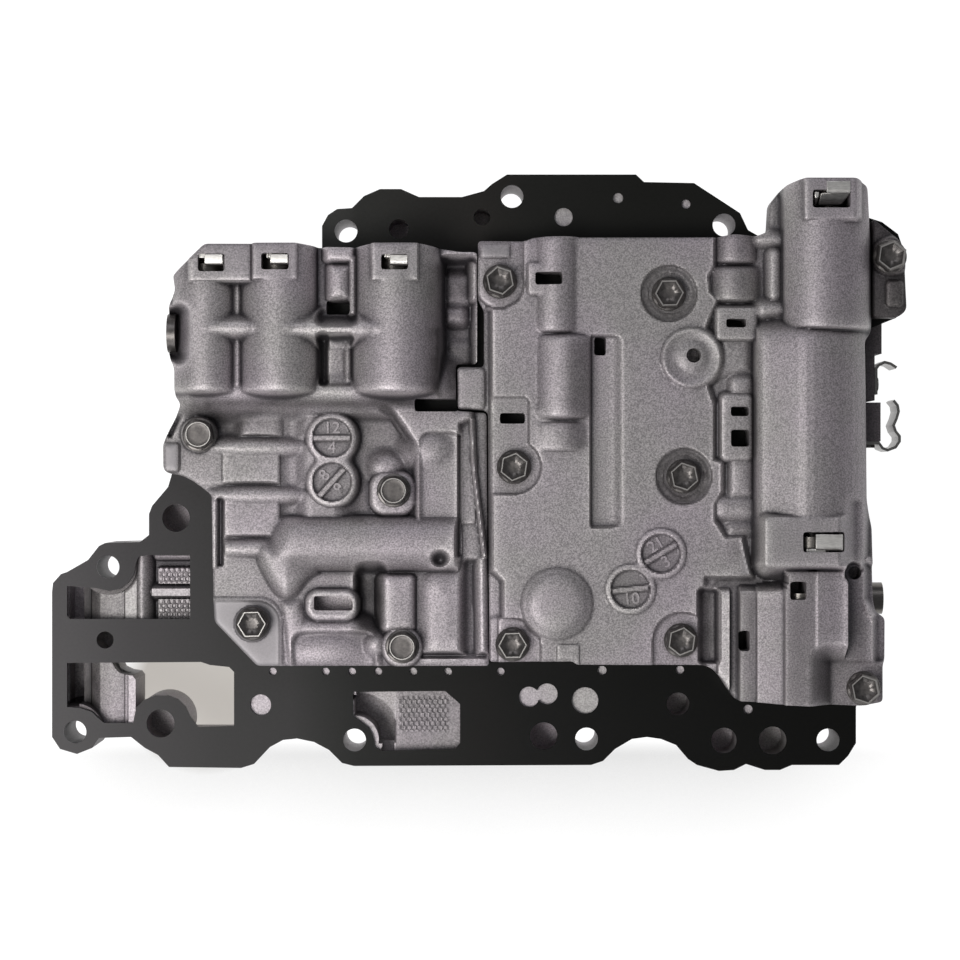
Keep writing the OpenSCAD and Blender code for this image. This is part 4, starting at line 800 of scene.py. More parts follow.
# The plate's coating is painted greyer towards the left, a painted reflection of the lamp that it faces
# there, and lighter towards the back
tree = MATERIALS["coated_plate"].node_tree
axes = add_node(tree, "ShaderNodeSeparateXYZ", {0: tree.nodes["Texture Coordinate"].outputs["Object"]})
across = add_node(tree, "ShaderNodeMapRange", {0: axes.outputs["X"]}, From_Min=-0.16, From_Max=0.16)
painted_sheen = add_node(tree, "ShaderNodeValToRGB", {0: across.outputs[0]})
PAINTED_SHEEN = ((0.02, "#3f3d3e"), (0.10, "#343233"), (0.20, "#2b2a2a"), (0.28, "#2b2a2a"), (0.32, "#20201f"),
        (0.36, "#151514"),
        (0.50, "#100f0e"), (0.56, "#0b0b0a"), (0.68, "#080807"))
painted_sheen.color_ramp.elements[1].position = 1.0
painted_sheen.color_ramp.elements[1].color = linear(PAINTED_SHEEN[-1][1])
painted_sheen.color_ramp.elements[0].color = linear(PAINTED_SHEEN[0][1])
for place_x, code in PAINTED_SHEEN:
    painted_sheen.color_ramp.elements.new(place_x).color = linear(code)
back = add_node(tree, "ShaderNodeMapRange", {0: axes.outputs["Y"]}, From_Min=0.01, From_Max=0.085,
                To_Min=1.0,
                To_Max=3.0)
streak = add_node(tree, "ShaderNodeMapRange", {0: tree.nodes["Noise Texture"].outputs[0]}, To_Min=0.8,
                  To_Max=1.2)
amount = add_node(tree, "ShaderNodeMath", {0: back.outputs[0], 1: streak.outputs[0]}, operation="MULTIPLY")
shader = tree.nodes["Principled BSDF"]
grey = add_node(tree, "ShaderNodeVectorMath", {0: painted_sheen.outputs[0], "Scale": amount.outputs[0]},
                operation="SCALE")
shader.inputs["Specular IOR Level"].default_value = 0.11
tree.links.new(grey.outputs[0], shader.inputs["Base Color"])

# The channel casting is in a lighter copy of the cast metal, painted light that brightens its shaded
# walls and deep pockets; it is tinted darker at its right end and round the two bosses that stand in its
# left pockets
tree = MATERIALS["cast_channel"].node_tree
axes = add_node(tree, "ShaderNodeSeparateXYZ", {0: tree.nodes["Texture Coordinate"].outputs["Object"]})
tint = add_node(tree, "ShaderNodeMapRange", {0: axes.outputs["X"]}, From_Min=0.12,
                 From_Max=0.135).outputs[0]
plan = add_node(tree, "ShaderNodeCombineXYZ", {0: axes.outputs["X"], 1: axes.outputs["Y"]})
for boss in ((108, 567), (75, 732)):
    away = add_node(tree, "ShaderNodeVectorMath", {0: plan.outputs[0]}, operation="DISTANCE",
                    i1=(*spot(*boss, PLATE_SCALE), 0))
    near = add_node(tree, "ShaderNodeMapRange", {0: away.outputs["Value"]}, From_Min=11.6 * MM,
                    From_Max=11.0 * MM)
    tint = add_node(tree, "ShaderNodeMath", {0: tint, 1: near.outputs[0]}, operation="MAXIMUM").outputs[0]
shader = tree.nodes["Principled BSDF"]
tone = shader.inputs["Base Color"].links[0].from_socket
tinted = add_node(tree, "ShaderNodeMix", {0: tint, 6: tone}, data_type="RGBA", blend_type="MULTIPLY",
                   i7=linear("#8d8a8b"))
tree.links.new(tinted.outputs[2], shader.inputs["Base Color"])

NODE_FINISH = {"cast_channel": ["lower_casting"],
               "cast_aluminium": ["side_casting", "left_casting", "right_casting"],
               "coated_plate": ["separator_plate"],
               "dark_steel": ["flange_bolts", "hex_bolts", "underside_bolts", "bracket_bolts",
                              "passage_plug"],
               "bright_steel": ["retainer_keys", "dowel_pins", "check_balls", "solenoid_brackets"],
               "clip_steel": ["upper_clip", "lower_clip", "clip_rivets"],
               "can_paint": [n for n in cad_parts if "solenoid_" in n and "bracket" not in n],
               "turned_aluminium": [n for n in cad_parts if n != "passage_plug"
                                    and ("_valve" in n or "_plug" in n)],
               "spring_wire": [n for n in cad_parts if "_spring" in n]}
for finish, names in NODE_FINISH.items():
    for node_name in names:
        node_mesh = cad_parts[node_name].data
        node_mesh.materials.clear()
        node_mesh.materials.append(MATERIALS[finish])


def keep(obj, finish, body="body", *nodes):
    """Gives a piece its finish and body, and hides the CAD nodes that it stands for."""
    obj.data.materials.clear()
    obj.data.materials.append(MATERIALS[finish])
    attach(obj, body)
    if nodes:
        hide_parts(*nodes)
    return obj


left_cuts = [slot_cut("cut", b, d, s) for b, d, s in (((197.5, 253.5, 224.5, 271.2), 16, 26),
                                                      ((261, 252.8, 288.6, 269.4), 16, 27.5),
                                                      ((381, 254, 408, 269.4), 16, 28.5),
                                                      ((325.5, 300, 350, 314), -3, 20),
                                                      ((414.5, 399, 458, 411.5), -3, 14),
                                                      ((313.6, 596.2, 352.7, 610.6), 2, 13.4))]
left_cuts += [bore_cut("cut", u, 235, 391, AXIS_H, d) for u, d in ((206, 13), (278, 15), (395, 16))]
left_cuts += [post_cut("cut", u, v, -2, 6.6)
              for u, v in ((198.5, 434.5), (393.5, 490.6), (402, 647), (252, 624))]
left_casting = build_casting("left_valve_casting", LEFT_OUTLINE, left_heights, (158, 238, 494, 672), 0.47,
                             4,
                             left_cuts, left_tones)
keep(left_casting, "cast_aluminium", "body", "left_casting")

# Right valve casting: the same die-cast metal, a broad low deck with sunk bolt seats, humps
# over its small bores, a long trough and the large regulator housing at its right edge.
RIGHT_OUTLINE = [(478, 241), (526, 241), (532, 238), (545, 236.5), (575, 236.5), (580, 237.5), (714, 237.5),
                 (734, 234), (757, 236), (769, 231), (770, 204), (785, 186), (803, 178), (857, 177.5),
                 (867.5, 186.5), (869, 215), (871, 240), (871, 333), (865, 341), (866, 400), (867, 500),
                 (872, 528), (873, 600), (876, 612), (885, 618), (885, 660), (883, 664), (883, 702),
                 (862, 706),
                 (741, 701.5), (735, 699), (728, 688), (721, 677), (712, 668.5), (703, 665), (577, 665),
                 (573, 661.5),
                 (489.5, 662), (488.8, 577), (488, 413), (484, 410), (458, 409.5), (457.5, 367), (484, 367),
                 (484, 310), (478, 300)]
RIGHT_DECK = [(524, 225), (714, 225), (713.5, 266), (708, 276), (709.6, 292), (717.5, 300), (711, 313),
              (706, 326), (708, 388), (713.4, 404), (713.4, 460), (722, 463), (722, 491), (714.7, 504),
              (714.7, 521), (725.4, 538), (742, 537), (746, 556), (751, 576), (716, 577), (704, 590),
              (703, 675), (500.5, 675), (500.5, 580), (489, 571), (489, 309), (505, 309), (520, 300),
              (524, 285)]


def right_heights(u, v):
    """Height of the right casting over the plate in mm: a low base, the deck, sunk seats, then
    humps, pads, rings, the trough and the housings, one after another."""
    size = SQUARE / MM
    h = np.full(u.shape, 10.2)
    deck = outline_distance(u, v, RIGHT_DECK)
    h = raised(h, deck, 13.5, 0.35, 0.5, 2.6)
    rim = np.abs(deck + 0.55) - 0.35
    east = outline_distance(u, v, [(600, 200), (800, 200), (800, 595), (600, 595)])
    h = raised(h, np.maximum(rim, east), 13.75, 0.3, 0.2, 2.0)
    # humps in the deck
    h = housing(h, u, v, 556, (228, 331), 25.0, 16.8, 0.8)
    h = housing(h, u, v, 564, (336, 417), 35.0, 18.0, 0.9)
    h = raised(h, box_distance(u, v, (537, 402, 580, 419), 4), 15.0, 1.2, 1.5, 1.6)
    h = housing(h, u, v, 560, (422, 451), 54.0, 15.6, 0.8)
    h = raised(h, box_distance(u, v, (527.8, 262.7, 567.7, 294.6), 1.6), 15.4, 0.4, 0.5, 4.0)
    # trough: a steep left wall, a wide right one
    rise = 0.5 * (u - 614 + np.sqrt((u - 614) ** 2 + 16.0))
    side = 10.8 + rise * size * 0.85 + np.maximum(592 - u, 0) * size * 3.0
    ends = np.maximum(337 - v, v - 526) * size
    h = blend_down(h, side + fall(ends, 0.5, 3.0), 0.5)
    # seats sunk in the deck
    corner_seat = np.minimum(box_distance(u, v, (465, 220, 523.5, 284), 2),
                             disc_distance(u, v, (500, 284), 24))
    h = sunk(h, corner_seat, 12.0, 0.3, 0.3, 4.0)
    h = raised(h, corner_seat, 12.0, 0.3, 0.3, 4.0)
    middle_seat = np.minimum(box_distance(u, v, (470, 397.5, 528.8, 456), 2),
                             disc_distance(u, v, (514, 467), 27))
    middle_seat = np.minimum(middle_seat, box_distance(u, v, (470, 440, 514, 494), 1))
    h = sunk(h, middle_seat, 12.0, 0.3, 0.3, 4.0)
    low_seat = np.minimum(disc_distance(u, v, (513, 646), 27.5),
                          box_distance(u, v, (489, 646, 540.5, 690), 1))
    low_seat = np.minimum(low_seat, box_distance(u, v, (489, 618.5, 514, 660), 1))
    h = sunk(h, low_seat, 12.0, 0.3, 0.3, 4.0)
    last_seat = np.minimum(disc_distance(u, v, (682, 641.5), 29),
                           box_distance(u, v, (653, 641, 704, 690), 1))
    h = sunk(h, last_seat, 12.0, 0.3, 0.3, 4.0)
    for centre in ((669, 293.5), (684, 476.5)):
        h = sunk(h, disc_distance(u, v, centre, 27.8),
                 12.0 + 0.35 * (np.hypot(u - centre[0], v - centre[1]) > 21),
                 0.3, 0.3, 3.0)
    h = raised(h, box_distance(u, v, (480.3, 244, 510.3, 257.8), 1.0), 13.1, 0.3, 0.3, 4.0)
    # lower border on the left
    strip = outline_distance(u, v, [(470, 306), (488.7, 312), (488.9, 396), (489, 496), (489, 571),
                                    (500, 582),
                                    (500, 616), (489.5, 619), (489.5, 680), (470, 680)])
    h = sunk(h, strip, 9.4, 0.4, 0.5, 2.6)
    h = raised(h, box_distance(u, v, (450, 368, 484.5, 409.5), 2.0), 11.0, 0.4, 0.5, 3.0)
    # round pads, dials and the small raised patch
    h = raised(h, disc_distance(u, v, (691.5, 357.5), 29.5), 15.2, 0.5, 0.5, 2.5)
    h = sunk(h, disc_distance(u, v, (691.5, 357.5), 24), 14.0, 1.2, 0.8, 0.9)
    h = raised(h, disc_distance(u, v, (692.5, 356.5), 12), 15.2, 1.2, 1.0, 0.9)
    h = raised(h, disc_distance(u, v, (556.8, 603.7), 35.2), 14.7, 0.4, 0.5, 3.0)
    h = raised(h, disc_distance(u, v, (556.8, 603.7), 28.5), 17.2, 2.4, 1.2, 1.3)
    ring = blend_down(disc_distance(u, v, (661, 553.5), 25.2), disc_distance(u, v, (630.5, 589.3), 25.2),
                      1.6)
    h = raised(h, ring, 14.7, 0.3, 0.3, 4.0)
    h = dial_face(h, u, v, (661, 553.5), 31.0, 12.7, 14.2)
    h = dial_face(h, u, v, (630.5, 589.3), 6.0, 12.7, 14.2)
    h = raised(h, box_distance(u, v, (556.5, 644.5, 579.5, 690), 1.0), 14.3, 0.3, 0.3, 3.0)
    # forms between the deck and the large housing
    h = housing(h, u, v, 736, (228, 262), 23.0, 15.2, 0.8)
    h = housing(h, u, v, 735, (268, 300), 27.0, 16.0, 1.4)
    h = raised(h, box_distance(u, v, (716.5, 307.5, 756.5, 339.5), 1.6), 14.6, 0.4, 0.6, 3.0)
    h = raised(h, outline_distance(u, v, [(723, 340), (750, 338), (748, 370), (716, 376)]), 12.6, 1.4, 1.6,
               1.5)
    h = raised(h, box_distance(u, v, (731, 378, 752, 397), 2.0), 13.6, 1.2, 1.2, 1.8)
    h = raised(h, box_distance(u, v, (721.6, 394.7, 751.8, 459.5), 1.8), 14.8, 0.4, 0.6, 3.0)
    h = raised(h, box_distance(u, v, (731, 459, 752, 495), 1.2), 13.4, 1.0, 1.2, 1.8)
    h = raised(h, box_distance(u, v, (717, 499, 756, 517), 2.4), 13.2, 1.4, 1.4, 1.5)
    h = raised(h, box_distance(u, v, (728, 524, 760, 535), 1.4), 12.2, 1.2, 1.2, 1.5)
    h = raised(h, box_distance(u, v, (769.5, 250, 780, 299), 1.8), 15.5, 0.8, 1.0, 2.5)
    h = raised(h, line_distance(u, v, (760, 238.5), (795, 239.5), 4.5), 15.0, 1.2, 1.6, 2.0)
    h = raised(h, line_distance(u, v, (764, 309.5), (797, 308.5), 5.5), 16.5, 1.4, 1.6, 2.0)
    h = raised(h, line_distance(u, v, (777.5, 319), (777.5, 332), 3.2), 14.0, 1.0, 1.2, 2.0)
    # modulator boss and regulator housing, with a long flat facet on its left
    h = housing(h, u, v, 826, (160, 327), 44.0, 28.6, 2.0)
    h = raised(h, box_distance(u, v, (804.5, 160, 857, 219.5), 0.6), 29.0, 0.35, 0.6, 4.0)
    arch = np.interp(u, [752, 757, 762, 799, 806, 814, 822, 830, 838, 846, 853, 859, 864, 868, 872],
                     [8.0, 19.2, 21.4, 27.9, 28.6, 28.7, 28.3, 27.5, 26.2, 24.3, 21.9, 19.0, 15.6, 11.5,
                      5.0])
    h = sunk(h, box_distance(u, v, (705, 577, 772, 590), 1), 9.6, 1.0, 1.5, 5.0)
    ends = np.maximum(331 - v, v - 565.5) * size
    h = blend_up(h, arch - fall(ends, 2.0, 2.4), 1.0)
    h = raised(h, box_distance(u, v, (764, 517, 852, 566.5), 1.6), 28.9, 0.4, 0.8, 4.0)
    # step and faceted block round the lubrication valve
    section = np.interp(u, [716, 717.5, 730, 731.5, 738, 739.5, 755.6, 756.8, 783.5, 785, 816, 818, 844,
                            845.6, 880],
                        [6.0, 13.2, 13.6, 6.5, 6.5, 15.8, 15.8, 17.4, 22.6, 25.4, 25.2, 25.6, 24.4, 13.6,
                         12.4])
    top_edge = np.where(u < 784.5, 590.5, 571.5)
    block = section - fall((top_edge - v) * size, 0.5, 3.0)
    h = np.where(u > 716, blend_up(h, block, 0.6), h)
    h = sunk(h, box_distance(u, v, (701.5, 591, 716, 661.5), 1.0), 6.0, 0.6, 0.8, 4.0)
    h = sunk(h, box_distance(u, v, (830, 662, 900, 720), 0.5), 12.0, 0.3, 1.0, 1.9)
    h = sunk(h, box_distance(u, v, (855, 500, 900, 566), 2), 17.0, 1.0, 2.0, 2.2)
    h = sunk(h, disc_distance(u, v, (854, 573), 9.5), 12.6, 0.4, 0.5, 9.0)
    for bend_1, bend_2, ridge_h in (((866.6, 612), (875, 622), 14.4), ((871.4, 611), (880.5, 621), 11.5)):
        for start, end in (((bend_1[0], 560), bend_1), (bend_1, bend_2), (bend_2, (bend_2[0], 656))):
            h = raised(h, line_distance(u, v, start, end, 0.9), ridge_h, 0.5, 0.5, 2.6)
    h = sunk(h, outline_distance(u, v, [(868, 566), (868, 598), (877, 615), (877, 660), (900, 660),
                                        (900, 566)]),
             8.0, 0.4, 0.4, 3.0)
    return h


right_cuts = [slot_cut("cut", b, d, s) for b, d, s in (
    ((535.3, 271.8, 562.4, 284.5), -3, 15.4), ((499.9, 413, 525, 423.7), -3, 12),
    ((594.4, 336.8, 606.2, 355.2), -3, 13),
    ((726.2, 318.6, 746.2, 327.4), -3, 14.6), ((730.8, 406.5, 748.9, 416.2), -3, 14.8),
    ((731, 429.6, 749.6, 446.7), -3, 14.8), ((803, 532, 845.5, 552.3), 16, 28.4),
    ((812.8, 189.4, 850.8, 207.5), 16, 29), ((739.6, 630.7, 749.8, 651.4), -3, 16),
    ((789.4, 581.5, 805.7, 599.7), 2, 23))]
right_cuts += [bore_cut("cut", 812, 570.5, 336, AXIS_H, 20), bore_cut("cut", 829, 160, 320, AXIS_H, 15),
               bore_cut("cut", 801, 720, 592, AXIS_H, 13)]
right_cuts += [post_cut("cut", u, v, -2, 6.6)
               for u, v in ((500, 281), (669, 293.5), (514, 467), (684, 476.5), (512.5, 645), (681.5, 641),
                            (864.5, 689))]
right_cuts += [post_cut("cut", *raised_point(694, 355.3, 16), 4, 5.3),
               post_cut("cut", *raised_point(854.5, 572.8, 12), 3, 4.9)]
right_casting = build_casting("right_valve_casting", RIGHT_OUTLINE, right_heights, (452, 172, 890, 712),
                              0.55, 4,
                              right_cuts, right_tones)
keep(right_casting, "cast_aluminium", "body", "right_casting")

# Side casting: a small block of the same metal bolted on at the right, in a darker copy of it that is
# painted shade.
SIDE_OUTLINE = [(873, 218), (895, 236), (905, 248), (907, 310), (898, 317.5), (873, 317.5)]


def side_heights(u, v):
    """Height of the side casting over the plate in mm."""
    h = np.full(u.shape, 9.6)
    h = raised(h, disc_distance(u, v, (891, 256), 18.5), 12.0, 0.4, 0.6, 3.0)
    h = raised(h, box_distance(u, v, (886.5, 281, 902.5, 306.5), 1.4), 11.2, 0.4, 0.5, 3.0)
    return h


side_casting = build_casting("side_casting_block", SIDE_OUTLINE, side_heights, (868, 212, 912, 322), 0.5, 5,
                             [post_cut("cut", 891, 256, -2, 6.6)])
keep(side_casting, "cast_aluminium_shaded", "body", "side_casting")

# Bolts: forged steel heads with a washer flange, blackened. Nine have a dished top inside a
# rim, three have a flat one, and the top of each rim is a painted highlight. Each head is a profile whose
# rings go from round to hexagon.
BOLT_RINGS = {
    "dished": [(0.0, 4.5, 0), (1.5, 4.45, 0.2), (2.4, 4.6, 0.6), (3.95, 5.8, 1), (4.1, 6.0, 1),
               (4.45, 6.0, 1),
               (4.6, 5.85, 1), (5.0, 5.2, 1), (5.0, 2.1, 1), (5.15, 1.75, 0.9), (5.7, 1.45, 0),
               (6.0, 1.25, 0),
               (6.2, 0.9, 0), (6.2, 0.0, 0), (3.0, 0.0, 0), (3.0, -29.5, 0), (2.6, -30.0, 0),
               (0.0, -30.0, 0)],
    "flat": [(0.0, 5.6, 0), (2.6, 5.6, 0), (3.7, 5.6, 0), (3.95, 5.64, 0), (4.15, 6.0, 0), (4.5, 6.0, 0),
             (4.75, 5.7, 0.1), (5.0, 5.2, 0.8), (5.0, 1.2, 1), (5.2, 0.9, 0.6), (5.9, 0.8, 0),
             (6.2, 0.6, 0),
             (6.2, 0.0, 0), (3.0, 0.0, 0), (3.0, -29.5, 0), (2.6, -30.0, 0), (0.0, -30.0, 0)],
}
SIDES = 72


def ring_faces(count, sides, start=0):
    """Four-sided faces between rings of points that follow one another."""
    return [(start + k * sides + j, start + (k + 1) * sides + j, start + (k + 1) * sides + (j + 1) % sides,
             start + k * sides + (j + 1) % sides) for k in range(count - 1) for j in range(sides)]


def bolts(name, places, rings, seat, node):
    """Bolts of one kind as one mesh: each ring is a blend of a circle and a hexagon of the same
    radius across the flats, turned a little from bolt to bolt."""
    turn = np.linspace(0, 2 * math.pi, SIDES, endpoint=False)
    sector = (turn + math.pi / 6) % (math.pi / 3) - math.pi / 6
    verts, faces = [], []
    for k, (u, v) in enumerate(places):
        x, y = spot(u, v)
        spin = 0.35 * k + 0.2
        start = len(verts)
        for radius, z, hexagon in rings:
            r = radius * (1 - hexagon + hexagon / np.cos(sector)) * MM
            verts += [(x + a * math.cos(t + spin), y + a * math.sin(t + spin), seat + z * MM) for a,
                      t in zip(r, turn)]
        faces += ring_faces(len(rings), SIDES, start)
    made = mesh_object(name, verts, faces)
    face_out(made, weld=True)
    smooth(made, 28)
    return keep(made, "dark_steel", "body", node)


SEAT_Z = PLATE_TOP + 12 * MM
tree = MATERIALS["dark_steel"].node_tree
axes = add_node(tree, "ShaderNodeSeparateXYZ", {0: tree.nodes["Texture Coordinate"].outputs["Object"]})
# painted highlight: the top of each bolt's rim, above a height, in a lighter steel colour
rim = add_node(tree, "ShaderNodeMapRange", {0: axes.outputs["Z"]}, From_Min=SEAT_Z + 5.86 * MM,
               From_Max=SEAT_Z + 5.98 * MM)
shader = tree.nodes["Principled BSDF"]
tone = shader.inputs["Base Color"].links[0].from_socket
rim_highlight = add_node(tree, "ShaderNodeMix", {0: rim.outputs[0], 6: tone}, data_type="RGBA",
                  i7=linear("#9d9a97"))
tree.links.new(rim_highlight.outputs[2], shader.inputs["Base Color"])
DISHED_PLACES = [(500, 281), (669, 293.5), (514, 467), (684, 476.5), (512.5, 645), (681.5, 641),
                 (864.5, 689),
                 (252, 624), (891, 256)]
bolts("dished_bolts", DISHED_PLACES, BOLT_RINGS["dished"], SEAT_Z, "flange_bolts")
bolts("flat_bolts", [(198.5, 434.5), (393.5, 490.6), (402, 647)], BOLT_RINGS["flat"], SEAT_Z, "hex_bolts")

# Retainer keys: stamped steel forks that drop into a neck of each plug; the tab at the top is
# folded over, and their lighter steel is a painted highlight. All five are one mesh, and the
# sloped front of one, in darker clip steel as painted shade, is another.
KEY_T, KEY_W, KEY_SET, NECK_R = 1.6, 7.0, 4.2, 2.6
TAB_T, TAB_BEND, TAB_TURN_DOWN = 1.1, 1.5, 2.6


def strip(outline, x0, x1):
    """Closed bar: an outline in (y, z), carried from x0 to x1, in metres."""
    count = len(outline)
    verts = [(x, y, z) for x in (x0, x1) for y, z in outline]
    faces = [tuple(range(count)), tuple(range(2 * count - 1, count - 1, -1))]
    faces += [(k, k + count, (k + 1) % count + count, (k + 1) % count) for k in range(count)]
    return verts, faces


def bent_plate(corners, thick=TAB_T):
    """Closed sheet between four corners (u, v, height in mm) and the same four, thick mm lower."""
    verts = [(*spot(*raised_point(u, v, h)), PLATE_TOP + (h - drop) * MM) for drop in (0, thick)
             for u, v, h in corners]
    return verts, [(0, 1, 2, 3), (7, 6, 5, 4)] + [(k, (k + 1) % 4, (k + 1) % 4 + 4, k + 4)
                                                  for k in range(4)]


def retainer_key(u, mouth, side, top_h, tab):
    """Meshes of one key: two fork legs beside the neck, the web over it and the folded tab,
    whose profile is flat and then turns down by a quarter circle."""
    x, mouth_y = spot(u, mouth)
    near, far = mouth_y - side * KEY_SET * MM, mouth_y - side * (KEY_SET + KEY_T) * MM
    axis_z, top_z = PLATE_TOP + AXIS_H * MM, PLATE_TOP + (top_h - 1.5) * MM
    half, neck = KEY_W / 2 * MM, NECK_R * MM
    parts = [strip([(near, low), (far, low), (far, high), (near, high)], x + a, x + b)
             for low, high, a, b in ((axis_z - neck, top_z, -half, -neck),
                                     (axis_z - neck, top_z, neck, half),
                                     (axis_z + neck, top_z, -neck, neck))]
    (u0, v0), (u1, v1) = raised_point(tab[0], tab[1], top_h), raised_point(tab[2], tab[3], top_h)
    (x0, y0), (x1, y1) = spot(u0, v0), spot(u1, v1)
    top, thick, bend = PLATE_TOP + top_h * MM, TAB_T * MM, TAB_BEND * MM
    low = top - TAB_TURN_DOWN * MM
    turn = np.linspace(0, math.pi / 2, 6)
    outer = [(y0, top - thick), (y0, top)] + [(y1 + bend - bend * math.sin(t),
                                               top - bend + bend * math.cos(t))
                                               for t in turn]
    inner = [(y1 + bend - (bend - thick) * math.sin(t), top - bend + (bend - thick) * math.cos(t))
             for t in turn[::-1]]
    parts.append(strip(outer + [(y1, low), (y1 + thick, low)] + inner, x0, x1))
    return parts


def joined(parts):
    """Vertices and faces of several closed meshes as one."""
    all_verts, all_faces = [], []
    for verts, faces in parts:
        all_faces += [tuple(k + len(all_verts) for k in face) for face in faces]
        all_verts += verts
    return all_verts, all_faces


key_parts = []
for key_place in ((206, 244, 1, 25.6, (204.2, 254, 222.8, 264.6)),
                  (278, 244, 1, 27.1, (270, 254, 288, 264)),
                  (395, 244, 1, 28.1, (389.8, 254.6, 407.8, 265)),
                  (812, 564, -1, 28.7, (815.8, 534.3, 843, 550.6)),
                  (829, 178, 1, 29.4, (826.8, 181, 850.6, 193.5))):
    key_parts += retainer_key(*key_place)
# The upper right key's fork end stands up beside its sloped front; the fork end's lighter steel is a
# painted highlight, the front's darker clip steel painted shade.
key_parts += [bent_plate([(814.6, 191.8, 28.6), (819.4, 191.8, 28.6), (818.6, 197.5, 28.4),
                          (814.8, 197.5, 28.4)]),
              bent_plate([(814.8, 197.5, 28.4), (818.6, 197.5, 28.4), (815.8, 206, 24), (814.6, 206, 24)])]
KEY_FRONT = [(820.5, 192.8, 28.7), (851, 192.8, 28.7), (841.5, 205, 26), (818, 205, 26)]
for name, parts, finish, nodes in (("folded_keys", key_parts, "highlit_steel", ["retainer_keys"]),
                                   ("key_front", [bent_plate(KEY_FRONT)], "clip_steel", [])):
    keys = mesh_object(name, *joined(parts))
    face_out(keys)
    soft_edges = keys.modifiers.new("rounding", "BEVEL")
    soft_edges.width = 0.45 * MM
    soft_edges.segments = 2
    smooth(keys, 40)
    keep(keys, finish, "body", *nodes)

# Numbers on the four date dials: plain raised figures left by the mould, in a lighter copy of the cast
# metal that is a painted highlight.
DIAL_NUMBERS = [((332, 438), 0, 11.0, "12", "4"), ((332, 482), 48, 11.0, "8", "9"),
                ((661, 553.5), 31, 12.7, "21", "3"), ((630.5, 589.3), 6, 12.7, "", "10")]
NUMBER_SIZE, NUMBER_LIFT, NUMBER_BOLD, NUMBER_SHIFT = 6.0, 0.55, 0.06, 3.6
for k, (centre, turn, floor_h, upper, lower) in enumerate(DIAL_NUMBERS):
    for word, side in ((upper, 1), (lower, -1)):
        if not word:
            continue
        curve = bpy.data.curves.new("figure", "FONT")
        curve.body = word
        curve.size = NUMBER_SIZE * MM
        curve.extrude = NUMBER_LIFT * MM
        curve.offset = NUMBER_BOLD * MM
        curve.align_x = "CENTER"
        curve.align_y = "CENTER"
        flat = bpy.data.objects.new("figure", curve)
        bpy.context.scene.collection.objects.link(flat)
        graph = bpy.context.evaluated_depsgraph_get()
        mesh = bpy.data.meshes.new_from_object(flat.evaluated_get(graph))
        bpy.data.objects.remove(flat)
        angle = math.radians(turn)
        x, y = spot(*raised_point(*centre, floor_h))
        shift = NUMBER_SHIFT * MM * side
        place = Matrix.Translation((x - shift * math.sin(angle), y + shift * math.cos(angle),
                                    PLATE_TOP + floor_h * MM))
        mesh.transform(place @ Matrix.Rotation(angle, 4, "Z"))
        figure = bpy.data.objects.new(f"dial_figure_{k + 1}_{'upper' if side > 0 else 'lower'}", mesh)
        bpy.context.scene.collection.objects.link(figure)
        keep(figure, "cast_figure_highlit")

# Pockets of the channel casting that show through the plate: sloped floors, a round rib, and
# pads cast with rows of dimples that hold oil.
DIMPLE_PITCH = 1.92
POCKET_PITCH = 0.28


def dimples(h, u, v, box, top, deep=0.75):
    """A pad with staggered round dimples: the top less a bell curve at each place."""
    size = SQUARE / MM
    across, down = (u - box[0]) * size / DIMPLE_PITCH, (v - box[1]) * size / (0.82 * DIMPLE_PITCH)
    row = np.floor(down)
    part = across - 0.5 * (row % 2)
    bell = np.hypot(part - np.floor(part) - 0.5, (down - row - 0.5) * 0.82) * DIMPLE_PITCH
    pad = top - deep * np.exp(-(bell / 0.42) ** 2) + 0.25 * np.cos(2 * math.pi * part)
    return blend_up(h, pad - fall(box_distance(u, v, box, 0.6), 0.3, 6.0), 0.2)


def pocket_1(u, v):
    """Height in mm over the plate's top of the upper left pocket's floor."""
    h = np.interp(u, [80, 87, 89, 98, 110, 122.8, 123.6, 134, 150, 200],
                  [-10.5, -10.5, -8.0, -5.6, -5.0, -4.8, -4.1, -3.9, -9.0, -9.0])
    h = blend_up(h, -2.4 - 0.35 * ((u - 141) * SQUARE / MM) ** 2, 0.5)
    h = raised(h, line_distance(u, v, (154, 592.3), (200, 592.3), 2.4), -2.6, 0.8, 0.6, 2.4)
    h = raised(h, line_distance(u, v, (156, 556), (200, 556), 1.4), -2.4, 0.4, 0.5, 4.0)
    h = dimples(h, u, v, (156.7, 568.6, 193, 584), -4.6)
    return dimples(h, u, v, (156.7, 600, 193, 622), -4.6)


def pocket_2(u, v):
    """The same for the lower left pocket, open to the table on its right."""
    return np.interp(u, [80, 87, 89, 98, 110, 122.8, 123.6, 126.6, 127.4, 134],
                     [-10.5, -10.5, -8.0, -5.6, -5.0, -4.8, -4.1, -4.1, -3.0, -3.0])


def pocket_3(u, v):
    """The same for the lower middle pocket, dimpled all over its right part."""
    h = np.interp(u, [394, 396, 470], [-5.4, -4.4, -4.4])
    return dimples(h, u, v, (396.8, 696.3, 449.5, 733.4), -4.2)


def ring_of(centre, radius):
    """Outline of a circle."""
    turn = np.linspace(0, 2 * math.pi, 40, endpoint=False)
    return [(centre[0] + radius * math.cos(t), centre[1] + radius * math.sin(t)) for t in turn]


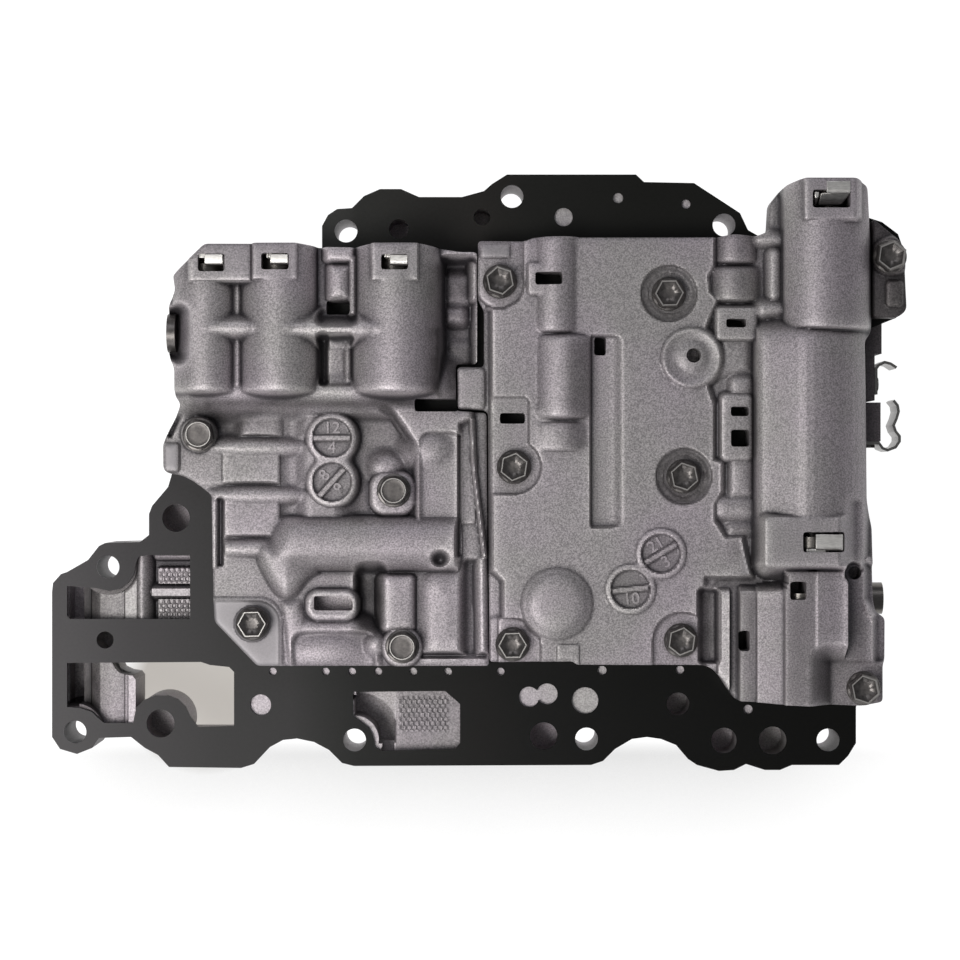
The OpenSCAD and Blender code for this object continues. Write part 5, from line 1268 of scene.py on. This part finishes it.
POCKET_CUTS = {"pocket_floor_1": [ring_of((108, 567), 28.4),
                                  [(60, 530), (134, 530), (134, 558), (110, 586.5), (60, 584)]],
               "pocket_floor_2": [ring_of((75, 732), 28.4),
                                  [(108, 640), (108.9, 661.8), (113, 669), (117, 673.5), (124, 675.5),
                                   (140, 676.5), (140, 640)]],
               "pocket_floor_3": []}
for pocket_name, heights, box in (("pocket_floor_1", pocket_1, (80, 553, 192.5, 621)),
                                  ("pocket_floor_2", pocket_2, (80, 655, 127.8, 727)),
                                  ("pocket_floor_3", pocket_3, (394, 690, 462, 752))):
    u, v = layout_grid(box, POCKET_PITCH)
    seen_h = heights(u, v)
    floor_piece = block_from_heights(pocket_name, u, v, seen_h, PLATE_TOP - 14 * MM)
    face_out(floor_piece)
    carve(floor_piece, [prism("cut", cut, PLATE_TOP - 20 * MM,
                              PLATE_TOP + 5 * MM) for cut in POCKET_CUTS[pocket_name]],
          "DIFFERENCE")
    # painted shade in hollows and painted highlight on edges by the relief; the tone paints shade over each
    # floor, deeper towards its left end
    paint(floor_piece, box, "relief", relief_of(seen_h, POCKET_PITCH))
    paint(floor_piece, box, "tone", -0.15 - 0.75 * np.clip((112 - u) / 24, 0, 1))
    floor_piece.data.transform(Matrix.Scale(PLATE_SCALE, 4, (1, 0, 0))
                               @ Matrix.Scale(PLATE_SCALE, 4, (0, 1, 0)))
    floor_piece.data.transform(Matrix.Translation((0, BACK * (PLATE_SCALE - 1), 0)))
    smooth(floor_piece)
    keep(floor_piece, "cast_aluminium")

# Valve springs: round steel wire coiled between plug and valve, each laid along the bore from
# the plug's inner face; in the real body each shortens as its valve comes up.
COILS, COIL_STEPS, WIRE_SIDES, WIRE_D = 5, 28, 10, 1.2
PLUG_DEPTH, END_PLAY = 10.05, 0.1


def spring(node_name, u, mouth, side, bore, length):
    """A closed coil: the wire's section is swept round the bore's axis with a steady pitch."""
    x, y0 = spot(u, mouth)
    z0 = PLATE_TOP + AXIS_H * MM
    coil_r = 0.72 * bore / 2
    reach = length - END_PLAY - WIRE_D
    t = np.linspace(0, COILS * 2 * math.pi, COILS * COIL_STEPS + 1)[:, None]
    b = np.linspace(0, 2 * math.pi, WIRE_SIDES, endpoint=False)[None, :]
    r = coil_r + WIRE_D / 2 * np.cos(b)
    along = PLUG_DEPTH + WIRE_D / 2 + reach * t / t.max() + WIRE_D / 2 * np.sin(b)
    verts = np.stack([x + r * np.cos(t) * MM, y0 - side * along * MM, z0 + r * np.sin(t) * MM],
                     -1).reshape(-1, 3)
    rows = t.shape[0]
    faces = ring_faces(rows, WIRE_SIDES)
    faces += [tuple(range(WIRE_SIDES)),
              tuple(range(rows * WIRE_SIDES - 1, (rows - 1) * WIRE_SIDES - 1, -1))]
    made = mesh_object("coil_" + node_name, verts, faces)
    face_out(made)
    smooth(made, 60)
    keep(made, "spring_wire", "body", node_name)
    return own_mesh(made)


spring("shift_spring_1", 206, 244, 1, 13, 13)
spring("shift_spring_2", 278, 244, 1, 15, 13)
spring("shift_spring_3", 395, 244, 1, 16, 13)
spring("regulator_spring", 812, 564, -1, 20, 24)
spring("modulator_spring", 829, 178, 1, 15, 13)
spring("lubrication_spring", 801, 703, -1, 13, 13)

# First shift plug: turned, its outer end a cone that stays inside the casting's cut corner.
PLUG_RINGS = ((11.96, 0.0), (11.96, 6.4), (7.5, 6.4), (5.9, 4.8), (5.9, 2.6), (4.1, 2.6), (4.1, 3.0),
              (1.7, 0.6), (1.7, 0.0))
PLUG_SIDES = 64
plug_x, plug_y = spot(206, 244)
plug_verts = [(plug_x + r * math.cos(t) * MM, plug_y - inward * MM,
               PLATE_TOP + (AXIS_H + r * math.sin(t)) * MM)
              for inward, r in PLUG_RINGS for t in np.linspace(0, 2 * math.pi, PLUG_SIDES, endpoint=False)]
plug = mesh_object("turned_plug", plug_verts, ring_faces(len(PLUG_RINGS), PLUG_SIDES))
face_out(plug, weld=True)
smooth(plug, 30)
keep(plug, "turned_aluminium", "body", "shift_plug_1")
